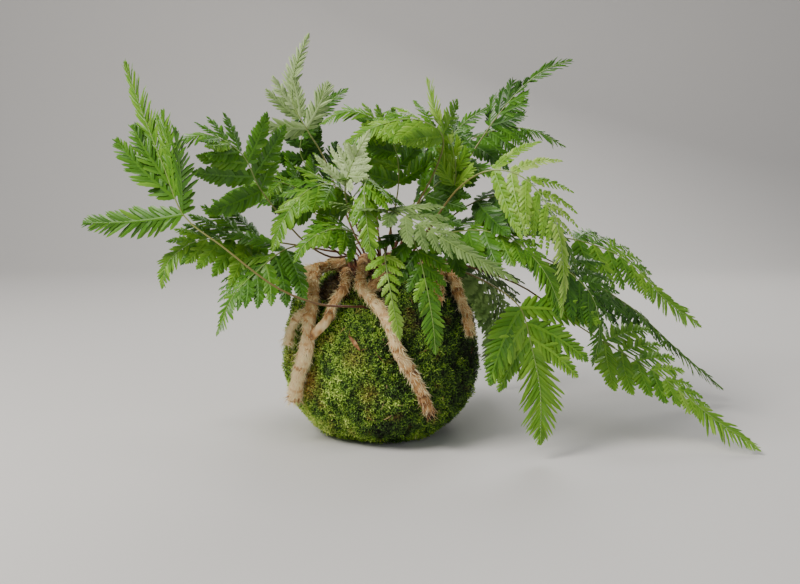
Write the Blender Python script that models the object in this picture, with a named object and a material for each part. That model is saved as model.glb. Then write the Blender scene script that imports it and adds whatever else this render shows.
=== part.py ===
"""Kokedama: a rabbit's-foot fern rooted in a ball of soil that is wrapped in living moss.

Metres, +Z up. The ball stands on Z = 0 on a small flat spot, with its upright axis on X = Y = 0,
and -Y is the front. Furry rhizomes creep from the crown down over the moss, and each frond is one
piece that stands in a plain hole.
"""

import math

import bmesh
import bpy
import numpy as np
from mathutils import Vector
from mathutils.bvhtree import BVHTree

# The ball: a slightly squared ellipsoid, fuller below its middle, cut flat below and open above. On its
# left shoulder it slopes in.
BALL_RADIUS = 0.0635
BALL_MIDDLE = 0.058
BALL_HALF_HEIGHT = 0.0615
BALL_POWER = 2.2
BALL_LOW_POWER = 2.5
SHOULDER_SLOPE = 0.21
RIM_HEIGHT = 0.108
RIM_DIP = 0.009
MOSS_THICKNESS = 0.008
MOSS_LUMP = 0.0011
AROUND = 24
OUTER_LEVELS = (0.0, 0.02, 0.08, 0.18, 0.31, 0.46, 0.61, 0.76, 0.89, 1.0)
INNER_HEIGHTS = (0.0085, 0.013, 0.022, 0.036, 0.054, 0.072, 0.088)

# The soil fills the wrap and rises in a low dome under the crown.
SOIL_TOP = 0.1135
SOIL_DOME_RINGS = ((0.0435, 0.0960), (0.0390, 0.1025), (0.0300, 0.1080), (0.0170, 0.1120))
GAP = 0.0004

# Rhizomes, with their felt of hair.
RHIZOME_RADIUS = 0.0048
RHIZOME_SIDES = 7
RHIZOME_STEP = 0.0085

# Fronds.
STALK_HALF = 0.0008
RIB_HALF = 0.0006
BLADE_HALF = 0.00035
HOLE_RADIUS = 0.0018
LONG_BLADE = 0.085
NOTCH = 0.45
FOOT = 0.0013
LIFTS = (0, 14, -14, 28, -28, 42, -42, 58, -58)
SHORTER = (1.0, 0.86, 0.72, 0.58, 0.44)


def ball_radius(height):
    """Radius of the smooth ball at this height: one superellipse above the middle and one below."""
    reach = min(abs((height - BALL_MIDDLE) / BALL_HALF_HEIGHT), 0.999)
    power = BALL_POWER if height > BALL_MIDDLE else BALL_LOW_POWER
    return BALL_RADIUS * (1 - reach**power) ** (1 / power)


def sloped(radius, angle, height):
    """The radius with the left shoulder sloping in: more so higher up, and not near the crown."""
    away = (math.degrees(angle) - 188 + 180) % 360 - 180
    rise = min(max((height - 0.088) / 0.015, 0), 1)
    out = min(max((radius - 0.028) / 0.012, 0), 1)
    return radius * (1 - SHOULDER_SLOPE * math.exp(-((away / 42) ** 2)) * rise**2 * (3 - 2 * rise) * out)


def lump(angle, height):
    """Low cushions of the moss, as a share of MOSS_LUMP: two crossed waves round the ball."""
    return math.sin(4 * angle + 70 * height) + 0.7 * math.sin(7 * angle - 95 * height + 1.3)


def rim_height(angle):
    """Top edge of the moss, with a dip at the front left where the soil shows."""
    dip = math.exp(-(((math.degrees(angle) + 128 + 180) % 360 - 180) / 34) ** 2)
    return RIM_HEIGHT - RIM_DIP * dip + 0.0015 * math.sin(3 * angle + 0.5)


def on_moss(degrees, height, lift=RHIZOME_RADIUS + 0.0022):
    """A point at this angle and height, lifted off the moss along its outward direction."""
    angle = math.radians(degrees)
    slope = (ball_radius(height + 0.001) - ball_radius(height - 0.001)) / 0.002
    out = Vector((math.cos(angle), math.sin(angle), -slope)).normalized()
    radius = sloped(ball_radius(height) + MOSS_LUMP * lump(angle, height), angle, height)
    return tuple(Vector((radius * math.cos(angle), radius * math.sin(angle), height)) + out * lift)


# Each rhizome is one or more runs. A run holds the points along its middle, from the crown to its end, and
# its thickness at the start and at the end, as shares of RHIZOME_RADIUS.
RHIZOMES = {
    "rhizome_left": (
        (((-0.0235, -0.0095, 0.1150), (-0.0345, -0.0125, 0.1145), (-0.042, -0.0215, 0.1115), on_moss(-133, 0.090),
          on_moss(-130, 0.067), on_moss(-136, 0.051), on_moss(-142, 0.040), on_moss(-150, 0.031)), 0.82, 1.20),
        (((-0.0400, -0.0190, 0.1125), (-0.0455, -0.0215, 0.1120), (-0.0520, -0.0230, 0.1100)), 0.90, 1.00),
        (((-0.0215, -0.027, 0.1125), on_moss(-114.5, 0.100), on_moss(-118, 0.0915), on_moss(-119.5, 0.083),
          on_moss(-124, 0.0765), on_moss(-129.5, 0.0715)), 0.85, 0.66),
        ((on_moss(-132, 0.0885), on_moss(-139.5, 0.083), on_moss(-142.5, 0.076), on_moss(-145, 0.066)), 0.62, 0.75),
    ),
    "rhizome_front": (
        (((-0.010, -0.008, 0.1185), (-0.011, -0.020, 0.1165), (-0.0105, -0.033, 0.1145), on_moss(-103, 0.101),
          on_moss(-91, 0.0915), on_moss(-83.5, 0.080), on_moss(-80.5, 0.068), on_moss(-74, 0.055),
          on_moss(-67, 0.0405), on_moss(-59.5, 0.026)), 1.04, 0.80),
        ((on_moss(-98, 0.0975), on_moss(-90, 0.104, 0.0085), (0.0040, -0.0400, 0.1140)), 0.85, 0.80),
    ),
    "rhizome_right": (
        (((0.030, -0.010, 0.1150), (0.0375, -0.022, 0.1130), on_moss(-43, 0.101), on_moss(-52, 0.0925)), 0.90, 0.80),
        (((0.030, -0.010, 0.1150), (0.040, -0.012, 0.1145), on_moss(-22, 0.103), on_moss(-31, 0.095),
          on_moss(-33, 0.083), on_moss(-34.5, 0.071)), 0.95, 0.75),
    ),
    "rhizome_back": (
        (((0.004, 0.016, 0.1170), (0.008, 0.029, 0.1140), on_moss(78, 0.103), on_moss(88, 0.086),
          on_moss(99, 0.064), on_moss(104, 0.042)), 1.00, 0.95),
        ((on_moss(88, 0.086), on_moss(72, 0.074), on_moss(60, 0.060)), 0.85, 0.80),
    ),
}

# The ways a blade grows: degrees between its first leaflets and the rib, and between its last ones and the
# rib, the share of the blade where the undivided tip starts, the tip's half width as a share of the blade,
# how full the leaflets are, the lobes of each leaflet pair, and the lobes of the tip.
HABITS = {
    "broad": (70, 41, 0.60, 0.085, 1.0, (3, 2, 1, 1, 1), 3),
    "steep": (66, 17, 0.28, 0.082, 1.2, (3, 3), 5),
    "spear": (50, 24, 0.56, 0.070, 1.1, (3, 2, 1, 1), 3),
    "hanging": (64, 50, 0.30, 0.165, 1.3, (3, 2), 4),
    "slender": (68, 40, 0.58, 0.060, 0.75, (3, 2, 1, 1, 1), 3),
    "wispy": (66, 44, 0.50, 0.050, 0.55, (3, 2, 2, 2, 2), 4),
}

# Each frond: the points of its stalk and rib, the number of the point where the blade starts, the length of
# its longest leaflet, the way its upper face looks at the start and at the tip, its fold, its fall and its
# habit.
FRONDS = {
    "frond_left_high": (
        ((-0.0070, -0.0503, 0.0874), (-0.0081, -0.0578, 0.0931), (-0.018, -0.067, 0.095), (-0.036, -0.076, 0.098),
         (-0.061, -0.080, 0.109), (-0.092, -0.075, 0.132), (-0.116, -0.068, 0.150), (-0.129, -0.062, 0.180),
         (-0.141, -0.058, 0.210), (-0.152, -0.055, 0.241)),
        6, 0.060, (-0.4, -0.9, 0.1), (-0.3, -0.9, 0.1), 22, 0.04, "steep",
    ),
    "frond_left_canopy": (
        ((-0.017, -0.004, 0.103), (-0.018, -0.006, 0.119), (-0.033, -0.020, 0.121), (-0.049, -0.040, 0.134),
         (-0.070, -0.062, 0.164), (-0.080, -0.070, 0.186), (-0.098, -0.082, 0.197), (-0.122, -0.092, 0.190)),
        4, 0.048, (0.1, -0.7, 0.7), (-0.5, -0.5, 0.8), 5, 0.10, "broad",
    ),
    "frond_top_left": (
        ((-0.010, 0.006, 0.104), (-0.011, 0.006, 0.120), (-0.018, 0.006, 0.134), (-0.029, 0.004, 0.162),
         (-0.038, 0.000, 0.186), (-0.048, -0.004, 0.203), (-0.057, -0.004, 0.220), (-0.057, 0.000, 0.240),
         (-0.048, 0.012, 0.267)),
        5, 0.034, (0.3, -0.9, 0.3), (0.2, -0.9, 0.3), 16, 0.02, "steep",
    ),
    "frond_right_front": (
        ((0.019, -0.013, 0.103), (0.020, -0.015, 0.120), (0.034, -0.032, 0.144), (0.050, -0.050, 0.167),
         (0.068, -0.062, 0.177), (0.088, -0.072, 0.171), (0.104, -0.079, 0.147), (0.109, -0.083, 0.117),
         (0.108, -0.086, 0.092)),
        4, 0.042, (0.1, -0.8, 0.5), (0.7, -0.8, 0.2), -8, 0.20, "wispy",
    ),
    "frond_right_hang": (
        ((0.0275, -0.022, 0.102), (0.029, -0.024, 0.1175), (0.047, -0.036, 0.115), (0.068, -0.046, 0.107),
         (0.087, -0.054, 0.093), (0.094, -0.062, 0.069), (0.099, -0.068, 0.042), (0.099, -0.073, 0.011)),
        4, 0.052, (0.1, -0.9, 0.5), (0.2, -0.95, 0.1), 5, 0.10, "hanging",
    ),
    "frond_right_far": (
        ((0.033, -0.001, 0.101), (0.035, -0.001, 0.117), (0.055, -0.002, 0.114), (0.094, -0.005, 0.100),
         (0.123, -0.010, 0.080), (0.148, -0.015, 0.064), (0.184, -0.030, 0.043), (0.213, -0.046, 0.020),
         (0.238, -0.062, 0.0035)),
        5, 0.040, (0.3, -0.6, 0.7), (0.5, -0.6, 0.6), 5, 0.08, "broad",
    ),
    "frond_right_back": (
        ((0.026, 0.018, 0.102), (0.027, 0.019, 0.118), (0.060, 0.036, 0.120), (0.108, 0.050, 0.114),
         (0.155, 0.060, 0.094), (0.190, 0.065, 0.072), (0.225, 0.070, 0.041), (0.262, 0.074, 0.010)),
        4, 0.038, (0.3, -0.3, 0.9), (0.6, -0.2, 0.7), -10, 0.14, "broad",
    ),
    "frond_right_arch": (
        ((0.029, 0.008, 0.102), (0.030, 0.008, 0.119), (0.055, 0.014, 0.126), (0.096, 0.020, 0.132),
         (0.135, 0.020, 0.129), (0.170, 0.020, 0.115), (0.197, 0.013, 0.088), (0.221, 0.008, 0.070)),
        4, 0.036, (0.2, -0.6, 0.8), (0.5, -0.7, 0.5), -8, 0.22, "broad",
    ),
    "frond_right_inner": (
        ((0.023, -0.004, 0.103), (0.024, -0.005, 0.119), (0.050, -0.012, 0.126), (0.084, -0.022, 0.127),
         (0.112, -0.032, 0.118), (0.133, -0.042, 0.100), (0.138, -0.050, 0.078), (0.133, -0.057, 0.056)),
        4, 0.044, (0.2, -0.7, 0.7), (0.9, -0.5, 0.2), -8, 0.12, "broad",
    ),
    "frond_top_right": (
        ((0.017, 0.008, 0.104), (0.018, 0.009, 0.120), (0.032, 0.016, 0.144), (0.055, 0.020, 0.177),
         (0.074, 0.020, 0.206), (0.092, 0.016, 0.229), (0.109, 0.012, 0.243), (0.127, 0.008, 0.250)),
        4, 0.026, (-0.3, -0.7, 0.6), (-0.4, -0.8, 0.5), 6, 0.06, "spear",
    ),
    "frond_right_level": (
        ((0.021, 0.026, 0.101), (0.022, 0.027, 0.118), (0.034, 0.040, 0.144), (0.044, 0.050, 0.174),
         (0.060, 0.056, 0.196), (0.088, 0.060, 0.207), (0.112, 0.062, 0.205), (0.134, 0.062, 0.194)),
        4, 0.034, (0.0, -0.5, 0.8), (0.3, -0.5, 0.8), -10, 0.40, "broad",
    ),
    "frond_top_arch": (
        ((0.007, -0.001, 0.104), (0.008, -0.002, 0.120), (0.018, -0.018, 0.144), (0.034, -0.030, 0.174),
         (0.040, -0.034, 0.197), (0.024, -0.038, 0.208), (0.002, -0.042, 0.205), (-0.022, -0.046, 0.193)),
        4, 0.036, (0.3, -0.6, 0.7), (-0.2, -0.7, 0.7), -8, 0.16, "broad",
    ),
    "frond_pale_spray": (
        ((-0.004, -0.004, 0.104), (-0.004, -0.006, 0.120), (-0.012, -0.028, 0.136), (-0.019, -0.048, 0.154),
         (-0.020, -0.058, 0.168), (-0.014, -0.066, 0.184), (-0.005, -0.072, 0.200)),
        4, 0.025, (-0.2, -0.9, 0.4), (-0.1, -0.9, 0.4), 5, 0.04, "broad",
    ),
    "frond_front_centre": (
        ((0.000, -0.013, 0.103), (0.000, -0.015, 0.120), (-0.006, -0.034, 0.138), (-0.003, -0.056, 0.1515),
         (0.010, -0.076, 0.1525), (0.034, -0.091, 0.1400), (0.057, -0.099, 0.1270), (0.079, -0.104, 0.1150)),
        3, 0.040, (0.3, -0.7, 0.7), (0.4, -0.7, 0.6), 4, 0.10, "slender",
    ),
    "frond_front_hang": (
        ((0.011, -0.020, 0.103), (0.012, -0.022, 0.119), (0.015, -0.040, 0.134), (0.018, -0.060, 0.140),
         (0.023, -0.075, 0.131), (0.028, -0.084, 0.112), (0.032, -0.088, 0.090), (0.034, -0.089, 0.070)),
        3, 0.030, (0.1, -0.9, 0.5), (0.2, -0.98, 0.0), -8, 0.12, "broad",
    ),
    "frond_front_left": (
        ((0.002, -0.028, 0.102), (0.002, -0.030, 0.117), (-0.006, -0.045, 0.130), (-0.0155, -0.0600, 0.1391),
         (-0.0245, -0.0700, 0.1422), (-0.0340, -0.0780, 0.1403), (-0.0429, -0.0840, 0.1337), (-0.0484, -0.0880, 0.1242)),
        3, 0.025, (-0.2, -0.8, 0.6), (-0.4, -0.9, 0.2), -4, 0.12, "broad",
    ),
    "frond_left_low": (
        ((-0.021, 0.003, 0.103), (-0.022, 0.003, 0.119), (-0.038, -0.004, 0.124), (-0.056, -0.012, 0.128),
         (-0.076, -0.026, 0.132), (-0.097, -0.042, 0.134), (-0.114, -0.052, 0.133), (-0.128, -0.060, 0.122),
         (-0.132, -0.064, 0.106)),
        4, 0.046, (0.0, -0.8, 0.6), (-0.3, -0.8, 0.5), -5, 0.10, "broad",
    ),
    "frond_left_droop": (
        ((-0.0255, 0.000, 0.102), (-0.026, -0.001, 0.119), (-0.040, -0.020, 0.129), (-0.058, -0.044, 0.128),
         (-0.074, -0.060, 0.116), (-0.087, -0.072, 0.102), (-0.096, -0.081, 0.080)),
        3, 0.042, (-0.2, -0.8, 0.6), (-0.7, -0.7, 0.2), -6, 0.12, "broad",
    ),
    "frond_dark_spire": (
        ((-0.006, 0.014, 0.104), (-0.006, 0.015, 0.120), (-0.020, 0.022, 0.144), (-0.040, 0.026, 0.168),
         (-0.055, 0.024, 0.186), (-0.052, 0.018, 0.204), (-0.038, 0.012, 0.220), (-0.022, 0.008, 0.231)),
        3, 0.034, (0.2, -0.8, 0.5), (-0.3, -0.8, 0.5), 6, 0.06, "broad",
    ),
    "frond_upright": (
        ((0.014, -0.007, 0.103), (0.015, -0.008, 0.120), (0.034, -0.012, 0.140), (0.048, -0.018, 0.166),
         (0.047, -0.022, 0.190), (0.036, -0.024, 0.212), (0.030, -0.024, 0.234)),
        3, 0.022, (-0.7, -0.7, 0.1), (-0.8, -0.6, 0.1), 10, 0.04, "spear",
    ),
    "frond_right_mid": (
        ((0.019, 0.001, 0.103), (0.020, 0.001, 0.120), (0.040, -0.002, 0.140), (0.062, -0.010, 0.156),
         (0.084, -0.018, 0.160), (0.104, -0.026, 0.150), (0.118, -0.032, 0.132), (0.126, -0.036, 0.112)),
        3, 0.050, (0.1, -0.4, 0.9), (0.7, -0.5, 0.5), -8, 0.14, "broad",
    ),
    "frond_centre_up": (
        ((0.002, 0.008, 0.104), (0.003, 0.008, 0.120), (0.008, 0.002, 0.144), (0.012, -0.006, 0.168),
         (0.010, -0.014, 0.190), (-0.002, -0.020, 0.208), (-0.020, -0.024, 0.214), (-0.038, -0.026, 0.206)),
        3, 0.040, (0.3, -0.7, 0.6), (-0.2, -0.5, 0.8), -4, 0.10, "broad",
    ),
    "frond_left_mid": (
        ((-0.013, 0.011, 0.103), (-0.014, 0.012, 0.120), (-0.028, 0.010, 0.136), (-0.044, 0.004, 0.154),
         (-0.058, -0.004, 0.166), (-0.074, -0.014, 0.170), (-0.092, -0.024, 0.164), (-0.108, -0.032, 0.152)),
        3, 0.042, (0.0, -0.6, 0.8), (-0.5, -0.5, 0.7), -6, 0.12, "broad",
    ),
    "frond_centre_low": (
        ((0.012, -0.030, 0.101), (0.013, -0.032, 0.116), (0.010, -0.052, 0.129), (0.006, -0.068, 0.134),
         (0.0042, -0.0800, 0.1275), (0.0061, -0.0890, 0.1150), (0.0084, -0.0920, 0.1025), (0.0107, -0.0930, 0.0910), (0.0130, -0.0930, 0.0793)),
        4, 0.013, (0.0, -0.8, 0.6), (0.3, -0.95, 0.1), -6, 0.10, "broad",
    ),
    "frond_centre_left": (
        ((0.0045, -0.0075, 0.104), (0.0042, -0.009, 0.120), (-0.004, -0.022, 0.140), (-0.016, -0.036, 0.158),
         (-0.030, -0.050, 0.168), (-0.044, -0.062, 0.164), (-0.056, -0.072, 0.148), (-0.062, -0.080, 0.130)),
        3, 0.038, (0.0, -0.7, 0.7), (-0.4, -0.8, 0.4), -6, 0.10, "broad",
    ),
    "frond_centre_back": (
        ((0.0115, 0.0155, 0.103), (0.012, 0.0165, 0.120), (0.020, 0.022, 0.146), (0.030, 0.026, 0.172),
         (0.044, 0.028, 0.194), (0.058, 0.028, 0.210), (0.074, 0.024, 0.220)),
        3, 0.040, (-0.1, -0.7, 0.6), (-0.2, -0.7, 0.6), 4, 0.08, "broad",
    ),
    "frond_right_low": (
        ((0.0125, 0.0005, 0.104), (0.0135, 0.0000, 0.120), (0.028, -0.010, 0.130), (0.046, -0.024, 0.137),
         (0.066, -0.038, 0.139), (0.086, -0.047, 0.132), (0.102, -0.055, 0.115), (0.112, -0.062, 0.092)),
        3, 0.040, (0.2, -0.7, 0.7), (0.5, -0.8, 0.3), -6, 0.12, "broad",
    ),
    "frond_centre_mid": (
        ((0.0085, -0.0135, 0.103), (0.0085, -0.015, 0.120), (0.006, -0.032, 0.146), (0.000, -0.050, 0.166),
         (-0.006, -0.064, 0.172), (-0.008, -0.078, 0.164), (-0.006, -0.088, 0.146),
         (-0.003, -0.093, 0.126)),
        3, 0.038, (0.0, -0.7, 0.7), (0.0, -0.95, 0.3), -6, 0.10, "broad",
    ),
    "frond_centre_right": (
        ((0.0075, 0.0062, 0.104), (0.008, 0.006, 0.120), (0.014, 0.000, 0.138), (0.024, -0.008, 0.153),
         (0.036, -0.014, 0.167), (0.050, -0.018, 0.177), (0.066, -0.022, 0.178), (0.080, -0.026, 0.170)),
        3, 0.038, (0.0, -0.7, 0.7), (0.3, -0.7, 0.6), -6, 0.12, "broad",
    ),
    "frond_back_right_low": (
        ((0.020, 0.031, 0.100), (0.021, 0.032, 0.117), (0.040, 0.056, 0.122), (0.060, 0.078, 0.112),
         (0.076, 0.092, 0.092), (0.085, 0.100, 0.068), (0.087, 0.104, 0.042), (0.083, 0.105, 0.018)),
        3, 0.050, (0.3, 0.4, 0.8), (0.5, 0.85, 0.2), -6, 0.12, "broad",
    ),
    "frond_back_up": (
        ((-0.001, 0.028, 0.102), (-0.001, 0.029, 0.119), (-0.004, 0.046, 0.148), (-0.004, 0.064, 0.178),
         (0.002, 0.084, 0.200), (0.008, 0.108, 0.206), (0.012, 0.134, 0.194)),
        3, 0.044, (0.0, -0.4, 0.9), (0.0, 0.6, 0.8), -6, 0.12, "broad",
    ),
    "frond_back_left": (
        ((-0.015, 0.023, 0.101), (-0.016, 0.024, 0.117), (-0.038, 0.044, 0.136), (-0.062, 0.062, 0.156),
         (-0.086, 0.078, 0.162), (-0.112, 0.094, 0.150), (-0.134, 0.106, 0.126)),
        3, 0.046, (0.1, -0.2, 1.0), (-0.5, 0.4, 0.7), -6, 0.12, "broad",
    ),
    "frond_back_low": (
        ((-0.008, 0.032, 0.100), (-0.008, 0.033, 0.117), (-0.017, 0.058, 0.124), (-0.030, 0.086, 0.110),
         (-0.040, 0.102, 0.090), (-0.046, 0.112, 0.064), (-0.048, 0.116, 0.038)),
        3, 0.040, (0.0, 0.5, 0.8), (-0.2, 0.95, 0.1), -6, 0.12, "broad",
    ),
}

COLOURS = {
    "moss": ((0.080, 0.145, 0.018), 0.95),
    "soil": ((0.030, 0.020, 0.013), 1.0),
    "rhizome": ((0.520, 0.380, 0.210), 0.9),
    "frond": ((0.100, 0.260, 0.045), 0.55),
}


def material(name):
    """The Principled material of this name, made once."""
    if name in bpy.data.materials:
        return bpy.data.materials[name]
    colour, roughness = COLOURS[name]
    made = bpy.data.materials.new(name)
    made.use_nodes = True
    shader = made.node_tree.nodes["Principled BSDF"]
    shader.inputs["Base Color"].default_value = (*colour, 1)
    shader.inputs["Roughness"].default_value = roughness
    shader.inputs["Metallic"].default_value = 0.0
    made.diffuse_color = (*colour, 1)
    return made


def add_solid(name, points, faces, material_name, smooth=False):
    """A mesh object in the scene from its points and faces."""
    mesh = bpy.data.meshes.new(name)
    mesh.from_pydata([tuple(point) for point in points], [], faces)
    mesh.validate()
    if smooth:
        mesh.shade_smooth()
    mesh.materials.append(material(material_name))
    made = bpy.data.objects.new(name, mesh)
    bpy.context.scene.collection.objects.link(made)
    return made


def ring_faces(count, around):
    """Quads between each ring of points and the next."""
    faces = []
    for ring in range(count - 1):
        for side in range(around):
            low, high = ring * around + side, ring * around + (side + 1) % around
            faces.append((low, high, high + around, low + around))
    return faces


def boolean(target, operation, collection_name, others):
    """Joins or cuts target with every object in others, as one applied Boolean on their collection."""
    collection = bpy.data.collections.new(collection_name)
    bpy.context.scene.collection.children.link(collection)
    for other in others:
        bpy.context.scene.collection.objects.unlink(other)
        collection.objects.link(other)
        other.hide_render = True
        other.display_type = "WIRE"
    cut = target.modifiers.new(collection_name, "BOOLEAN")
    cut.operation = operation
    cut.operand_type = "COLLECTION"
    cut.collection = collection
    cut.solver = "EXACT"
    bpy.context.view_layer.update()
    graph = bpy.context.evaluated_depsgraph_get()
    finished = bpy.data.meshes.new_from_object(target.evaluated_get(graph))
    target.modifiers.clear()
    target.data = finished
    for other in others:
        bpy.data.objects.remove(other)
    bpy.data.collections.remove(collection)


def directions(turn):
    return [turn * step / AROUND for step in range(AROUND)]


def build_moss():
    """The moss wrap: a lumpy outer skin, a ragged rim and a smooth inside, open above."""
    points = []
    for level in OUTER_LEVELS:
        for angle in directions(2 * math.pi):
            height = level * rim_height(angle)
            lumps = MOSS_LUMP * lump(angle, height) if level > 0 else 0.0
            radius = sloped(ball_radius(height) + lumps, angle, height)
            points.append((radius * math.cos(angle), radius * math.sin(angle), height))
    inside = [INNER_HEIGHTS[-1] + 0.009] + list(reversed(INNER_HEIGHTS))
    for height in inside:
        for angle in directions(2 * math.pi):
            top = rim_height(angle) - 0.003 if height == inside[0] else height
            radius = ball_radius(top) - MOSS_THICKNESS * (0.75 if height == inside[0] else 1.0) + GAP
            radius = sloped(radius, angle, top)
            points.append((radius * math.cos(angle), radius * math.sin(angle), top))
    faces = ring_faces(len(OUTER_LEVELS) + len(inside), AROUND)
    faces.append(tuple(reversed(range(AROUND))))
    last = (len(OUTER_LEVELS) + len(inside) - 1) * AROUND
    faces.append(tuple(range(last, last + AROUND)))
    return add_solid("moss_wrap", points, faces, "moss", smooth=True)


def build_soil():
    """The soil ball: it follows the inside of the moss, and ends in a low dome."""
    points = []
    for height in INNER_HEIGHTS:
        radius = ball_radius(height) - MOSS_THICKNESS
        lift = GAP if height == INNER_HEIGHTS[0] else 0.0
        for angle in directions(2 * math.pi):
            reach = sloped(radius, angle, height)
            points.append((reach * math.cos(angle), reach * math.sin(angle), height + lift))
    for radius, height in SOIL_DOME_RINGS:
        for angle in directions(2 * math.pi):
            crumb = 0.0006 * math.sin(5 * angle + 400 * radius)
            reach = sloped(radius, angle, height + 0.004)
            points.append((reach * math.cos(angle), reach * math.sin(angle), height + crumb))
    points.append((0, 0, SOIL_TOP))
    rings = len(INNER_HEIGHTS) + len(SOIL_DOME_RINGS)
    faces = ring_faces(rings, AROUND)
    faces.append(tuple(reversed(range(AROUND))))
    last = (rings - 1) * AROUND
    for side in range(AROUND):
        faces.append((last + side, last + (side + 1) % AROUND, rings * AROUND))
    return add_solid("soil_ball", points, faces, "soil")


def smooth_path(control, places):
    """Points at these places along a smooth curve through the control points.

    A place is a number of spans: 1.5 is halfway between the second and the third control point. Each span
    is a cubic whose slope at a control point is that of the line between its two neighbours.
    """
    control = np.asarray(control, float)
    ends = np.vstack([2 * control[0] - control[1], control, 2 * control[-1] - control[-2]])
    places = np.clip(np.asarray(places, float), 0, len(control) - 1)
    span = np.minimum(places.astype(int), len(control) - 2)
    part = (places - span)[:, None]
    before, start, finish, after = (ends[span + step] for step in range(4))
    slope_in = (finish - before) / 2
    slope_out = (after - start) / 2
    lift = 2 * part**3 - 3 * part**2
    return (
        (lift + 1) * start
        + (part**3 - 2 * part**2 + part) * slope_in
        - lift * finish
        + (part**3 - part**2) * slope_out
    )


def evenly(control, first, last, count):
    """Places along the curve, from first to last, that lie at equal lengths."""
    fine = np.linspace(first, last, 200)
    steps = np.linalg.norm(np.diff(smooth_path(control, fine), axis=0), axis=1)
    run = np.concatenate([[0], np.cumsum(steps)])
    return np.interp(np.linspace(0, run[-1], count), run, fine), run[-1]


def tube(name, control, first_radius, last_radius):
    """A knobbly tube along the control points, with a blunt end."""
    places, length = evenly(control, 0, len(control) - 1, 60)
    count = max(4, round(length / RHIZOME_STEP))
    places, length = evenly(control, 0, len(control) - 1, count)
    middle = smooth_path(control, places)
    along = np.gradient(middle, axis=0)
    along /= np.linalg.norm(along, axis=1)[:, None]
    points = []
    side = Vector(along[0]).orthogonal().normalized()
    for step in range(count):
        axis = Vector(along[step])
        side = (side - axis * side.dot(axis)).normalized()
        other = axis.cross(side)
        end = 0.72 if step in (0, count - 1) else 1.0
        radius = first_radius + (last_radius - first_radius) * step / (count - 1)
        size = radius * end * (0.97 + 0.07 * math.sin(2.1 * step + 0.6))
        for corner in range(RHIZOME_SIDES):
            turn = 2 * math.pi * corner / RHIZOME_SIDES
            points.append(Vector(middle[step]) + size * (math.cos(turn) * side + math.sin(turn) * other))
    faces = ring_faces(count, RHIZOME_SIDES)
    faces.append(tuple(reversed(range(RHIZOME_SIDES))))
    last = (count - 1) * RHIZOME_SIDES
    faces.append(tuple(range(last, last + RHIZOME_SIDES)))
    return add_solid(name, points, faces, "rhizome", smooth=True)


def build_rhizome(name, runs):
    """A rhizome: its runs, joined where they fork."""
    pieces = [tube(name if index == 0 else f"{name}_run_{index}", run, RHIZOME_RADIUS * first, RHIZOME_RADIUS * last)
              for index, (run, first, last) in enumerate(runs)]
    if len(pieces) > 1:
        boolean(pieces[0], "UNION", name + "_runs", pieces[1:])
    return pieces[0]


def unit(vector):
    return vector / np.linalg.norm(vector)


def blade_axes(frond, place):
    """The point, the forward, side and upward directions of a frond's rib at this place."""
    control, start, _, face_start, face_tip = frond[:5]
    point, ahead = smooth_path(control, [place, min(place + 0.05, len(control) - 1)])
    behind = smooth_path(control, [place - 0.05])[0]
    forward = unit(ahead - behind)
    if place < start:
        across = blade_axes(frond, start)[2]
        across = unit(across - forward * across.dot(forward))
        return point, forward, across, np.cross(across, forward)
    share = min((place - start) / (len(control) - 1 - start), 1)
    face = np.array(face_start) * (1 - share) + np.array(face_tip) * share
    up = unit(face - forward * face.dot(forward))
    return point, forward, np.cross(forward, up), up


def leaflet_rib(frond, place, side, share, lift, shorter):
    """A leaflet's length, and its own rib as a function of the share of that length.

    The rib leaves at an angle that closes towards the tip of the frond, and bends forward and down.
    """
    reach, fold, fall = frond[2], frond[5], frond[6]
    point, forward, across, up = blade_axes(frond, place)
    length = reach * (1 - 0.9 * share) ** 1.5 * shorter
    angle = leaflet_angle(frond, share)
    tilt = math.radians(fold + lift)
    out = side * across * math.cos(tilt) + up * math.sin(tilt)
    face = up * math.cos(tilt) - side * across * math.sin(tilt)
    ahead = math.cos(angle) * forward + math.sin(angle) * out
    front = math.sin(angle) * forward - math.cos(angle) * out

    def rib(part):
        here = point + length * (part * ahead + 0.16 * part**2 * front)
        here = here - np.array((0, 0, fall * length * part**2))
        slope = unit(ahead + 0.32 * part * front - np.array((0, 0, 2 * fall * part)))
        level = unit(face - slope * face.dot(slope))
        width = np.cross(level, slope)
        width = width if width.dot(front) > 0 else -width
        return here, slope, width, level

    return length, rib


def leaflet_angle(frond, share):
    """Radians between a leaflet and the rib of its frond. They close towards the tip, at once on a steep one."""
    first, last, terminal = HABITS[frond[7]][:3]
    speed = 0.35 if frond[7] == "steep" else 1
    return math.radians(first + (last - first) * min(share / terminal, 1) ** speed)


def lobed_outline(rib, half_width, lobes, end, back=1.0, opening=1.0):
    """Notches and lobe tips, as (front, back, up) rows from the foot to the tip, and the tip.

    The front is kept narrow near the foot, where the leaflet is close to the rib of its frond: opening is
    how far a leaflet's tip would be from that rib.
    """

    def front_half(half, part):
        return min(half, max(0.8 * opening * part - 0.0012, 0.0004))

    notches, tips = [], []
    for lobe in range(1, lobes + 1):
        part = end * lobe / lobes
        here, _, width, level = rib(part)
        narrow = max(NOTCH * half_width * (1 - 0.8 * part / end), 0.0008)
        front = front_half(narrow, part)
        notches.append((here + width * front, here - width * narrow, level))
        part = end * (lobe - 0.55) / lobes
        here, slope, width, level = rib(part)
        wide = half_width * (1 - 0.62 * part / end)
        lead = 0.55 * wide * slope
        front = max(front_half(wide, part), front + 0.0003)
        tips.append((here + width * front + lead, here - width * wide * back + lead, level))
    return notches, tips, rib(1.0)


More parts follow.
